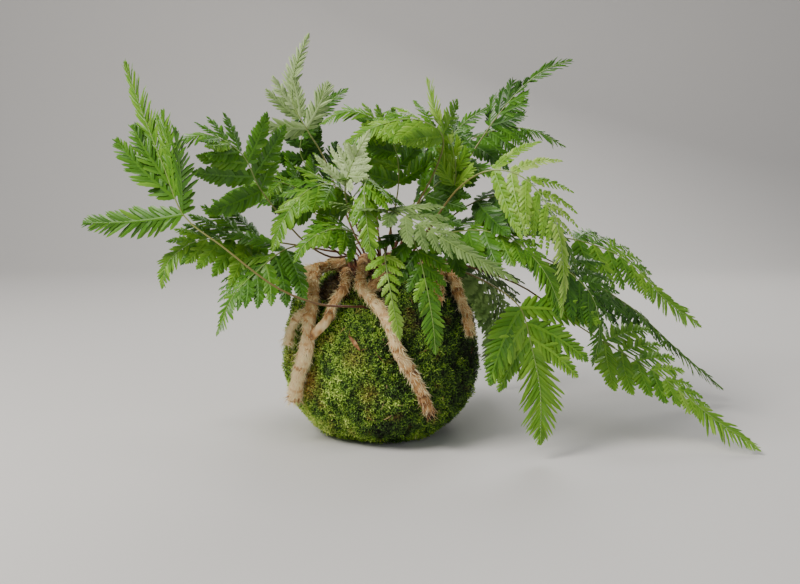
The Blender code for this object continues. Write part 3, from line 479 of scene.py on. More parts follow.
SOIL_PROFILE_RADIUS = (0.0, 0.0170, 0.0300, 0.0390, 0.0435, 0.0500, 0.0520, 0.0520, 0.0)
SOIL_PROFILE_HEIGHT = (0.1135, 0.1120, 0.1080, 0.1025, 0.0970, 0.0950, 0.0930, 0.0800, 0.0800)
SOIL_ROWS = 76
SOIL_COLUMNS = 150
SOIL_OPEN = 0.47
CRUMBS = 700
CRUMB_SIZES = (0.0004, 0.0013)
SOIL_TONES = (
    (0.00, (0.006, 0.004, 0.003)),
    (0.50, (0.028, 0.018, 0.011)),
    (0.80, (0.075, 0.046, 0.026)),
    (1.00, (0.160, 0.105, 0.060)),
)


def soil_surface(angle, share):
    """The dome's profile turned round the axis, with lumps of two sizes pushed up out of it."""
    steps = np.hypot(np.diff(SOIL_PROFILE_RADIUS), np.diff(SOIL_PROFILE_HEIGHT))
    knots = np.concatenate([[0], np.cumsum(steps)])
    radius = np.interp(share * knots[-1], knots, SOIL_PROFILE_RADIUS)
    height = np.interp(share * knots[-1], knots, SOIL_PROFILE_HEIGHT)
    radius = sloped(radius, angle, height + 0.004)
    plain = np.stack([radius * np.cos(angle), radius * np.sin(angle), height + 0 * angle], axis=-1)
    open_part = np.clip((SOIL_OPEN - share) / 0.04, 0, 1)
    plain[..., 2] += open_part * (0.0010 * cloud(plain, 0.0042, 21) + 0.0006 * cloud(plain, 0.0018, 22))
    return plain


def lumps(centres, sizes, random):
    """Closed crumbs: octahedra with their corners pushed about."""
    corners = np.array([(1, 0, 0), (-1, 0, 0), (0, 1, 0), (0, -1, 0), (0, 0, 1), (0, 0, -1)], float)
    shape = corners[None] * random.uniform(0.6, 1.2, (len(centres), 6, 1))
    shape = shape + random.normal(0, 0.16, (len(centres), 6, 3))
    faces = np.array([(0, 2, 4), (2, 1, 4), (1, 3, 4), (3, 0, 4), (2, 0, 5), (1, 2, 5), (3, 1, 5), (0, 3, 5)])
    points = centres[:, None] + shape * sizes[:, None, None]
    return points.reshape(-1, 3), (np.arange(len(centres))[:, None, None] * 6 + faces).reshape(-1, 3)


def joined(parts):
    """Parts as one mesh: all their points, their blocks of faces counted on, and their tones."""
    points, faces, tones, before = [], [], [], 0
    for part_points, blocks, part_tones in parts:
        points.append(part_points)
        faces.extend(block + before for block in blocks)
        tones.append(part_tones)
        before += len(part_points)
    return np.vstack(points), faces, np.concatenate(tones)


def build_soil():
    """The dome and its loose crumbs, as one piece."""
    angle = np.linspace(0, 2 * math.pi, SOIL_COLUMNS, endpoint=False)
    share = np.linspace(0.004, 0.996, SOIL_ROWS)
    points = soil_surface(angle[None, :], share[:, None]).reshape(-1, 3)
    points = np.vstack([points, [(0, 0, SOIL_PROFILE_HEIGHT[0]), (0, 0, SOIL_PROFILE_HEIGHT[-1])]])
    edge = np.arange(SOIL_COLUMNS)
    top = np.stack([edge, np.roll(edge, -1), np.full(SOIL_COLUMNS, len(points) - 2)], axis=1)
    last = (SOIL_ROWS - 1) * SOIL_COLUMNS
    bottom = np.stack([last + np.roll(edge, -1), last + edge, np.full(SOIL_COLUMNS, len(points) - 1)], axis=1)
    random = np.random.default_rng(23)
    around = random.uniform(0, 2 * math.pi, CRUMBS)
    centres = soil_surface(around, random.uniform(0.03, 0.40, CRUMBS))
    crumbs, crumb_faces = lumps(centres, random.uniform(*CRUMB_SIZES, CRUMBS), random)
    dome_tones = 0.38 + 0.25 * cloud(points, 0.003, 24) + 0.15 * cloud(points, 0.001, 25)
    crumb_tones = np.repeat(random.uniform(0.15, 0.95, CRUMBS), 6)
    dome = (points, (grid_faces(SOIL_ROWS, SOIL_COLUMNS)[:, ::-1], top, bottom), dome_tones)
    points, faces, tones = joined((dome, (crumbs, (crumb_faces,), crumb_tones)))
    material, shader = principled("soil", (0.03, 0.02, 0.012), 0.95)
    shade_by(material, shader, "tone", SOIL_TONES)
    soil = add_mesh("soil_dome", points, faces, [material], values={"tone": tones}, smooth=False)
    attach(soil, "root")
    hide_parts("soil_ball")


build_soil()

# ---------------------------------------------------------------------------------------------------------
# The rhizomes: creeping stems as thick as a pencil, wrapped in felt. They leave the crown, cross the rim and
# lie on the moss. Each is a knobbly core in a coat of fine lying hairs, with a frayed or a cut end.

RHIZOME_RADIUS = 0.0048
RHIZOME_CORE = 0.0037
RHIZOME_SIDES = 16
STATION_STEP = 0.0010
NODE_SPACING = 0.017
HAIRS_PER_METRE = 17000
HAIR_LENGTHS = (0.0020, 0.0052)
HAIR_RADIUS = 0.00022
HAIR_SINK = 0.0002
TUFT_LENGTH = 0.009
DARK_END_LENGTH = 0.008

FELT_TONES = (
    (0.00, (0.030, 0.012, 0.008)),
    (0.22, (0.200, 0.085, 0.040)),
    (0.45, (0.600, 0.320, 0.110)),
    (0.70, (0.940, 0.720, 0.400)),
    (1.00, (1.000, 0.910, 0.560)),
)


def on_moss(degrees, height, lift=RHIZOME_RADIUS + 0.0022):
    """A point at this angle and height, lifted off the moss along its outward direction."""
    angle = math.radians(degrees)
    slope = (ball_radius(height + 0.001) - ball_radius(height - 0.001)) / 0.002
    out = np.array((math.cos(angle), math.sin(angle), -slope))
    radius = sloped(ball_radius(height) + MOSS_LUMP * lump(angle, height), angle, height)
    foot = np.array((radius * math.cos(angle), radius * math.sin(angle), height))
    return tuple(foot + out / np.linalg.norm(out) * lift)


# For each rhizome, its runs from the crown to the end. A run holds the points along its middle, its thickness
# at the start and at the end as shares of RHIZOME_RADIUS, how pale its felt is at its start, middle and
# end, 1 being cream, and the form of its end.
RHIZOMES = {
    "rhizome_left": (
        (((-0.0235, -0.0095, 0.1150), (-0.0345, -0.0125, 0.1145), (-0.042, -0.0215, 0.1115),
          on_moss(-133, 0.090), on_moss(-130, 0.067), on_moss(-136, 0.051), on_moss(-142, 0.040),
          on_moss(-150, 0.031)),
         0.82, 1.20, (0.80, 0.98, 1.14), "frayed"),
        (((-0.0400, -0.0190, 0.1125), (-0.0455, -0.0215, 0.1120), (-0.0520, -0.0230, 0.1100)),
         0.90, 1.00, (0.66, 0.95, 1.25), "pale"),
        (((-0.0215, -0.027, 0.1125), on_moss(-114.5, 0.100), on_moss(-118, 0.0915), on_moss(-119.5, 0.083),
          on_moss(-124, 0.0765), on_moss(-129.5, 0.0715)),
         0.85, 0.66, (0.76, 0.90, 0.68), "bare"),
        ((on_moss(-132, 0.0885), on_moss(-139.5, 0.083), on_moss(-142.5, 0.076), on_moss(-145, 0.066)),
         0.62, 0.75, (0.95, 1.15, 1.15), "pale"),
    ),
    "rhizome_front": (
        (((-0.010, -0.008, 0.1185), (-0.011, -0.020, 0.1165), (-0.0105, -0.033, 0.1145),
          on_moss(-103, 0.101), on_moss(-91, 0.0915), on_moss(-83.5, 0.080), on_moss(-80.5, 0.068),
          on_moss(-74, 0.055), on_moss(-67, 0.0405), on_moss(-59.5, 0.026)),
         1.04, 0.80, (0.62, 1.00, 0.72), "cut"),
        ((on_moss(-98, 0.0975), on_moss(-90, 0.104, 0.0085), (0.0040, -0.0400, 0.1140)),
         0.85, 0.80, (0.80, 0.85, 0.85), "blunt"),
    ),
    "rhizome_right": (
        (((0.030, -0.010, 0.1150), (0.0375, -0.022, 0.1130), on_moss(-43, 0.101), on_moss(-52, 0.0925)),
         0.90, 0.80, (0.80, 0.88, 0.84), "pale"),
        (((0.030, -0.010, 0.1150), (0.040, -0.012, 0.1145), on_moss(-22, 0.103), on_moss(-31, 0.095),
          on_moss(-33, 0.083), on_moss(-34.5, 0.071)),
         0.95, 0.75, (0.80, 0.90, 0.80), "blunt"),
    ),
    "rhizome_back": (
        (((0.004, 0.016, 0.1170), (0.008, 0.029, 0.1140), on_moss(78, 0.103), on_moss(88, 0.086),
          on_moss(99, 0.064), on_moss(104, 0.042)),
         1.00, 0.95, (0.50, 0.62, 0.50), "blunt"),
        ((on_moss(88, 0.086), on_moss(72, 0.074), on_moss(60, 0.060)),
         0.85, 0.80, (0.55, 0.60, 0.55), "blunt"),
    ),
}

# A path's places are worked out at these shares of its length.
PATH_SHARES = np.linspace(0, 1, 300)


def unit(vectors):
    """The vectors at length one."""
    return vectors / np.linalg.norm(vectors, axis=-1)[..., None]


def smooth_path(control, places):
    """Points at these places along a smooth curve through the control points.

    A place is a number of spans. Each span is a cubic whose slope at a control point is that of the line
    between its two neighbours.
    """
    control = np.asarray(control, float)
    ends = np.vstack([2 * control[0] - control[1], control, 2 * control[-1] - control[-2]])
    places = np.clip(np.asarray(places, float), 0, len(control) - 1)
    span = np.minimum(places.astype(int), len(control) - 2)
    part = (places - span)[:, None]
    before, start, finish, after = (ends[span + step] for step in range(4))
    lift = 2 * part**3 - 3 * part**2
    slope_in, slope_out = (finish - before) / 2, (after - start) / 2
    return ((lift + 1) * start + (part**3 - 2 * part**2 + part) * slope_in
            - lift * finish + (part**3 - part**2) * slope_out)


def places_by_length(control, first, last):
    """The curve's length between two places, and the places at PATH_SHARES of that length."""
    fine = np.linspace(first, last, len(PATH_SHARES))
    steps = np.linalg.norm(np.diff(smooth_path(control, fine), axis=0), axis=1)
    run = np.concatenate([[0], np.cumsum(steps)])
    return run[-1], np.interp(np.linspace(0, run[-1], len(PATH_SHARES)), run, fine)


def rod(middle, across, up, radius, sides):
    """A round rod along a path, with flat ends. It has one radius a point, or one for each point and side."""
    turn = np.linspace(0, 2 * math.pi, sides, endpoint=False)
    ring = np.cos(turn)[None, :, None] * across[:, None] + np.sin(turn)[None, :, None] * up[:, None]
    size = radius[..., None] if radius.ndim == 2 else radius[:, None, None]
    points = (middle[:, None] + ring * size).reshape(-1, 3)
    points = np.vstack([points, middle[:1], middle[-1:]])
    faces = grid_faces(len(middle), sides)[:, ::-1]
    edge = np.arange(sides)
    last = (len(middle) - 1) * sides
    first_cap = np.stack([edge, (edge + 1) % sides, np.full(sides, len(points) - 2)], axis=1)
    last_cap = np.stack([last + (edge + 1) % sides, last + edge, np.full(sides, len(points) - 1)], axis=1)
    return points, faces, np.concatenate([first_cap, last_cap])


def path_axes(middle):
    """Forward, side and other directions along a path, with the side kept as level as it can be."""
    forward = unit(np.gradient(middle, axis=0))
    outward = unit(middle - np.array((0, 0, BALL_MIDDLE)))
    side = unit(np.cross(outward, forward))
    return forward, side, np.cross(forward, side)


def spikes(base, ahead, length, radius, random):
    """Closed hairs: a triangle at the base and a tip, four faces each."""
    side = unit(np.cross(ahead, random.normal(size=base.shape)))
    other = np.cross(ahead, side)
    turn = np.radians((0, 120, 240))
    ring = np.cos(turn)[None, :, None] * side[:, None] + np.sin(turn)[None, :, None] * other[:, None]
    feet = base[:, None] + radius[:, None, None] * ring
    tip = base + ahead * length[:, None]
    points = np.concatenate([feet, tip[:, None]], axis=1).reshape(-1, 3)
    faces = np.array([(0, 1, 3), (1, 2, 3), (2, 0, 3), (2, 1, 0)])
    return points, (np.arange(len(base))[:, None, None] * 4 + faces).reshape(-1, 3)


def felt_hairs(stem, hair_count, end, random):
    """The hairs of a run: points, faces and tones.

    They start on the core and lie forwards along the stem in locks. They lean out, more so near a frayed
    end, and they are short where the felt is worn. stem holds the run's length and its middle, axes,
    radius, paleness, wear and nodes at each station.
    """
    length, middle, (forward, side, other), radius, pale, worn, node = stem
    stations, sides = radius.shape
    along = np.sort(random.uniform(0, 1, hair_count))
    station = np.minimum((along * (stations - 1)).astype(int), stations - 1)
    around = random.uniform(0, 2 * math.pi, hair_count)
    outward = np.cos(around)[:, None] * side[station] + np.sin(around)[:, None] * other[station]
    column = (around / (2 * math.pi) * sides).astype(int) % sides
    base = middle[station] + outward * (radius[station, column] - HAIR_SINK)[:, None]
    near_end = np.clip((along * length - length + TUFT_LENGTH) / TUFT_LENGTH, 0, 1)
    fray = near_end if end == "frayed" else 0.3 * near_end
    lock = cloud(base, 0.0016, 36)
    lean = np.abs(random.normal(0.27, 0.16, hair_count) + 0.26 * lock) + 0.35 * fray
    lean = lean + 0.5 * (random.uniform(size=hair_count) < 0.10)
    sway = random.normal(0, 0.34, hair_count) + 0.7 * cloud(base, 0.0026, 37)
    tangent = np.cross(forward[station], outward)
    lying = np.cos(sway)[:, None] * forward[station] + np.sin(sway)[:, None] * tangent
    ahead = unit(np.cos(lean)[:, None] * lying + np.sin(lean)[:, None] * outward)
    grown = 1 - 0.75 * worn[station]
    long = random.uniform(*HAIR_LENGTHS, hair_count) * (1 + 0.5 * fray)
    long = long * (1 + 0.45 * cloud(base, 0.0035, 38)) * grown
    thick = HAIR_RADIUS * random.uniform(0.7, 1.5, hair_count) * grown
    points, faces = spikes(base, ahead, long, thick, random)
    tone = pale[station] + random.normal(0.07, 0.16, hair_count) + 0.45 * lock
    tone = tone + 0.40 * cloud(base, 0.0055, 34) - 0.12 * node[station] - 0.25 * worn[station]
    tone = tone - 0.62 * near_end * (end in ("frayed", "cut")) + 0.30 * near_end * (end == "pale")
    # Each hair is darker at its three feet, which is painted shade among the hairs, and paler at its tip.
    return points, faces, (tone[:, None] + np.array((-0.32, -0.32, -0.32, 0.18))).ravel()


def felted_run(control, first_size, last_size, pale, end, random):
    """One run of a rhizome: points, faces and tones of its core and of its hairs.

    The core's radius goes from one size to the other, and swells a little at its nodes. Noise of two sizes
    dents it. The last part of a bare run and the first part of a cut one have lost most of their felt.
    """
    length, places = places_by_length(control, 0, len(control) - 1)
    stations = round(length / STATION_STEP)
    middle = smooth_path(control, np.interp(np.linspace(0, 1, stations), PATH_SHARES, places))
    forward, side, other = path_axes(middle)
    run = np.linspace(0, length, stations)
    part = run / length
    node = np.exp(-(((run / NODE_SPACING + random.uniform()) % 1 - 0.5) / 0.06) ** 2)
    blunt = np.sqrt(np.clip(1 - ((part - 1) / 0.03 + 1).clip(0, 1) ** 2 * 0.55, 0, 1))
    size = RHIZOME_CORE * (first_size + (last_size - first_size) * part)
    turn = np.linspace(0, 2 * math.pi, RHIZOME_SIDES, endpoint=False)
    ring = np.cos(turn)[None, :, None] * side[:, None] + np.sin(turn)[None, :, None] * other[:, None]
    rough = middle[:, None] + 0.004 * ring
    radius = size[:, None] * (blunt + 0.07 * node)[:, None] + 0.00085 * cloud(rough, 0.0048, 31)
    radius = radius + 0.00030 * cloud(rough, 0.0014, 32)
    points, side_faces, caps = rod(middle, side, other, radius, RHIZOME_SIDES)
    pale = np.interp(part, (0, 0.5, 1), pale)
    worn = np.clip((part - 0.62) / 0.10, 0, 1) if end == "bare" else 0 * part
    worn = np.maximum(worn, np.exp(-((part - 0.10) / 0.10) ** 2) * (end == "cut"))
    patch = 0.5 + 0.5 * cloud(rough, 0.0075, 35)
    # The core is darker than its hairs: its own brown, and painted shade in the gaps between the hairs.
    tone = (pale - 0.44 - 0.20 * node + 0.14 * worn)[:, None] + 0.22 * cloud(rough, 0.003, 33) + 0.14 * patch
    near_end = np.clip((run - length + DARK_END_LENGTH) / DARK_END_LENGTH, 0, 1)
    tone = tone - 0.5 * (near_end * (end in ("frayed", "cut")))[:, None]
    cap_tones = (0.30, 0.0 if end == "cut" else 0.32)
    hair_count = round(length * HAIRS_PER_METRE * (first_size + last_size) / 2)
    stem = (length, middle, (forward, side, other), radius, pale, worn, node)
    hairs, hair_faces, hair_tones = felt_hairs(stem, hair_count, end, random)
    faces = [side_faces, caps, hair_faces + len(points)]
    return np.vstack([points, hairs]), faces, np.concatenate([tone.ravel(), cap_tones, hair_tones])


def build_rhizomes():
    """Each rhizome, with all its runs, as one piece."""
    material, shader = principled("rhizome felt", (0.5, 0.35, 0.2), 0.85)
    ramp = shade_by(material, shader, "tone", FELT_TONES)
    let_light_through(material, shader, 0.18, ramp)
    for index, (name, runs) in enumerate(RHIZOMES.items()):
        random = np.random.default_rng(50 + index)
        points, faces, tones = joined([felted_run(*run, random) for run in runs])
        made = add_mesh(name + "_felt", points, faces, [material], values={"tone": tones}, smooth=False)
        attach(made, "root")
        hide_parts(name)


build_rhizomes()

# ---------------------------------------------------------------------------------------------------------
# The scales of the crown: thin, papery and red-brown. They stand in tufts on the soil round the feet of the
# stalks. SCALE_SPREAD is how far from the middle of the crown they lean out fully.

SCALES = 1500
SCALE_SPREAD = 0.034
SCALE_LENGTHS = (0.0022, 0.0080)
SCALE_RADIUS = 0.00030
SCALE_SINK = 0.0004
SCALE_TONES = (
    (0.00, (0.070, 0.022, 0.012)),
    (0.55, (0.300, 0.110, 0.050)),
    (1.00, (0.620, 0.330, 0.170)),
)


def build_scales():
    """Closed slivers on the soil dome, thickest near the crown, that lean outwards and differ in length."""
    random = np.random.default_rng(71)
    around = random.uniform(0, 2 * math.pi, SCALES)
    share = 0.30 * random.uniform(0, 1, SCALES) ** 0.7
    base = soil_surface(around, share) - np.array((0, 0, SCALE_SINK))
    tuft = np.clip(0.5 + cloud(base, 0.006, 72), 0, 1)
    away = base * np.array((1, 1, 0)) / SCALE_SPREAD
    ahead = unit(away + 0.45 * random.normal(size=base.shape) + np.array((0, 0, 0.9)))
    long = random.uniform(*SCALE_LENGTHS, SCALES) * (0.35 + tuft)
    points, faces = spikes(base, ahead, long, np.full(SCALES, SCALE_RADIUS), random)
    tones = np.repeat(0.15 + 0.6 * tuft + random.normal(0, 0.15, SCALES), 4)
    material, shader = principled("crown scales", (0.3, 0.12, 0.06), 0.7)
    shade_by(material, shader, "tone", SCALE_TONES)
    scales = add_mesh("crown_scales", points, [faces], [material], values={"tone": tones}, smooth=False)
    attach(scales, "root")


build_scales()

# ---------------------------------------------------------------------------------------------------------
# Litter on the moss: one curled chip of dry leaf at the front, and thin dry bits of old stalk that lie flat
# on the cushions. The chip's place is in degrees round the ball and height, and it slants by CHIP_SLANT
# degrees. The bits start between the BIT_TURNS, in degrees, and between the BIT_HEIGHTS.

CHIP_PLACE = (-103, 0.0715)
CHIP_LIFT = 0.0031
CHIP_LENGTH = 0.0125
CHIP_WIDTH = 0.0023
CHIP_SLANT = 50
CHIP_HALF_THICKNESS = 0.00016
CHIP_ROWS = 22
CHIP_COLUMNS = 9
LITTER_BITS = 34
BIT_TURNS = (-170, -10)
BIT_HEIGHTS = (0.018, 0.098)
BIT_LIFTS = (0.0021, 0.0024)
BIT_RADII = (0.00021, 0.00012)
BIT_STATIONS = 6
BIT_SIDES = 5

LITTER_TONES = (
    (0.00, (0.060, 0.028, 0.014)),
    (0.50, (0.330, 0.150, 0.055)),
    (1.00, (0.660, 0.470, 0.240)),
)


def leaf_chip():
    """A chip with pointed ends whose sides curl up, as a closed plate: points, faces and tones."""
    degrees, height = CHIP_PLACE
    centre = np.array(on_moss(degrees, height, CHIP_LIFT))
    out = unit(np.array(on_moss(degrees, height, 0.01)) - centre)
    level = unit(np.cross((0.0, 0.0, 1.0), out))
    slant = math.radians(CHIP_SLANT)
    long_way = math.cos(slant) * level - math.sin(slant) * np.cross(out, level)
    wide_way = np.cross(out, long_way)
    rows, columns = CHIP_ROWS, CHIP_COLUMNS
    along, aside = np.meshgrid(np.linspace(-1, 1, rows), np.linspace(-1, 1, columns), indexing="ij")
    half = CHIP_WIDTH / 2 * (1 - np.abs(along) ** 2.4 + 0.04) * (1 + 0.12 * np.sin(5 * along + 1))
    curl = 0.0011 * aside**2 + 0.0008 * along**2 + 0.0002 * np.sin(9 * along)
    flat = (centre + along[..., None] * CHIP_LENGTH / 2 * long_way + (aside * half)[..., None] * wide_way
            + curl[..., None] * out)
    top = (flat + CHIP_HALF_THICKNESS * out).reshape(-1, 3)
    low = (flat - CHIP_HALF_THICKNESS * out).reshape(-1, 3)
    under = rows * columns
    face = grid_faces(rows, columns, closed=False)
    rim = np.concatenate([np.arange(columns), np.arange(1, rows) * columns + columns - 1,
                          (rows - 1) * columns + np.arange(columns - 2, -1, -1),
                          np.arange(rows - 2, 0, -1) * columns])
    wall = np.stack([rim, np.roll(rim, -1), np.roll(rim, -1) + under, rim + under], axis=1)
    tone = np.clip(0.55 + 0.25 * cloud(top, 0.002, 62), 0, 1)
    faces = [face, face[:, ::-1] + under, wall[:, ::-1]]
    return np.vstack([top, low]), faces, np.append(tone, np.full(under, 0.3))


def build_litter():
    """The chip, and a bent rod for each thin bit, as one piece."""
    random = np.random.default_rng(61)
    parts = [leaf_chip()]
    for _ in range(LITTER_BITS):
        turn, high = random.uniform(*BIT_TURNS), random.uniform(*BIT_HEIGHTS)
        start = np.array(on_moss(turn, high, BIT_LIFTS[0]))
        turn, high = turn + random.normal(0, 4.5), high + random.normal(0, 0.0032)
        finish = np.array(on_moss(turn, high, BIT_LIFTS[1]))
        bend = (start + finish) / 2 + 0.0006 * unit(start - np.array((0, 0, BALL_MIDDLE)))
        middle = smooth_path((start, bend, finish), np.linspace(0, 2, BIT_STATIONS))
        _, side, other = path_axes(middle)
        bit, sides, caps = rod(middle, side, other, np.linspace(*BIT_RADII, BIT_STATIONS), BIT_SIDES)
        parts.append((bit, (sides, caps), np.full(len(bit), random.uniform(0.35, 1.0))))
    points, faces, tones = joined(parts)
    material, shader = principled("dry litter", (0.4, 0.2, 0.08), 0.8)
    shade_by(material, shader, "tone", LITTER_TONES)
    litter = add_mesh("dry_litter", points, faces, [material], values={"tone": tones})
    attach(litter, "root")


build_litter()

# ---------------------------------------------------------------------------------------------------------
# The fronds: thin wiry stalks, brown at the foot and green above, each with a triangular blade that is cut
# three times over. Pairs of leaflets leave the rib, and each leaflet carries rows of small toothed segments.

STALK_RADIUS = 0.00078
RIB_RADIUS = 0.00048
TIP_RADIUS = 0.00014
STALK_SIDES = 7
LEAF_THICKNESS = 0.00011

# The green strip along a leaflet's rib, the space between leaflets and between segments, how far a leaflet's
# tip bends forward as a share of its length, and the fewest segments on each side of a leaflet.
WING = 0.0009
VEIN_RADIUS = 0.00016
LEAFLET_SPACING = 0.0095
LEAFLET_BEND = 0.16
SEGMENT_SPACING = 0.0040
FEWEST_SEGMENTS = 5

# What the leaflets of a solid may do to clear their neighbours: be lifted by degrees, or be shorter. A blade
# shorter than LONG_BLADE has one pair less. The first pair is BLADE_FOOT past the blade's start. A rib lies
# on the solid where it is within NEAR_SOLID of it.
LIFTS = (0, 14, -14, 28, -28, 42, -42, 58, -58)
SHORTER = (1.0, 0.86, 0.72, 0.58, 0.44)
LONG_BLADE = 0.085
BLADE_FOOT = 0.0013
NEAR_SOLID = 0.0018

# The ways a blade grows: degrees between its first leaflets and the rib, and between its last ones and the
# rib, the share of the blade where the undivided tip starts, the tip's half width as a share of the blade,
# how full the leaflets are, the number of leaflet pairs of the solid, and degrees between a segment and the
# rib of its leaflet.
Habit = namedtuple("Habit", "first_angle last_angle tip_from tip_half full pairs slant")
HABITS = {
    "broad": Habit(70, 41, 0.60, 0.085, 1.0, 5, 56),
    "steep": Habit(66, 17, 0.28, 0.082, 1.2, 2, 43),
    "spear": Habit(50, 24, 0.56, 0.070, 1.1, 4, 43),
    "hanging": Habit(64, 50, 0.30, 0.165, 1.3, 2, 52),
    "slender": Habit(68, 40, 0.58, 0.060, 0.75, 5, 52),
    "wispy": Habit(66, 44, 0.50, 0.050, 0.55, 5, 50),
}

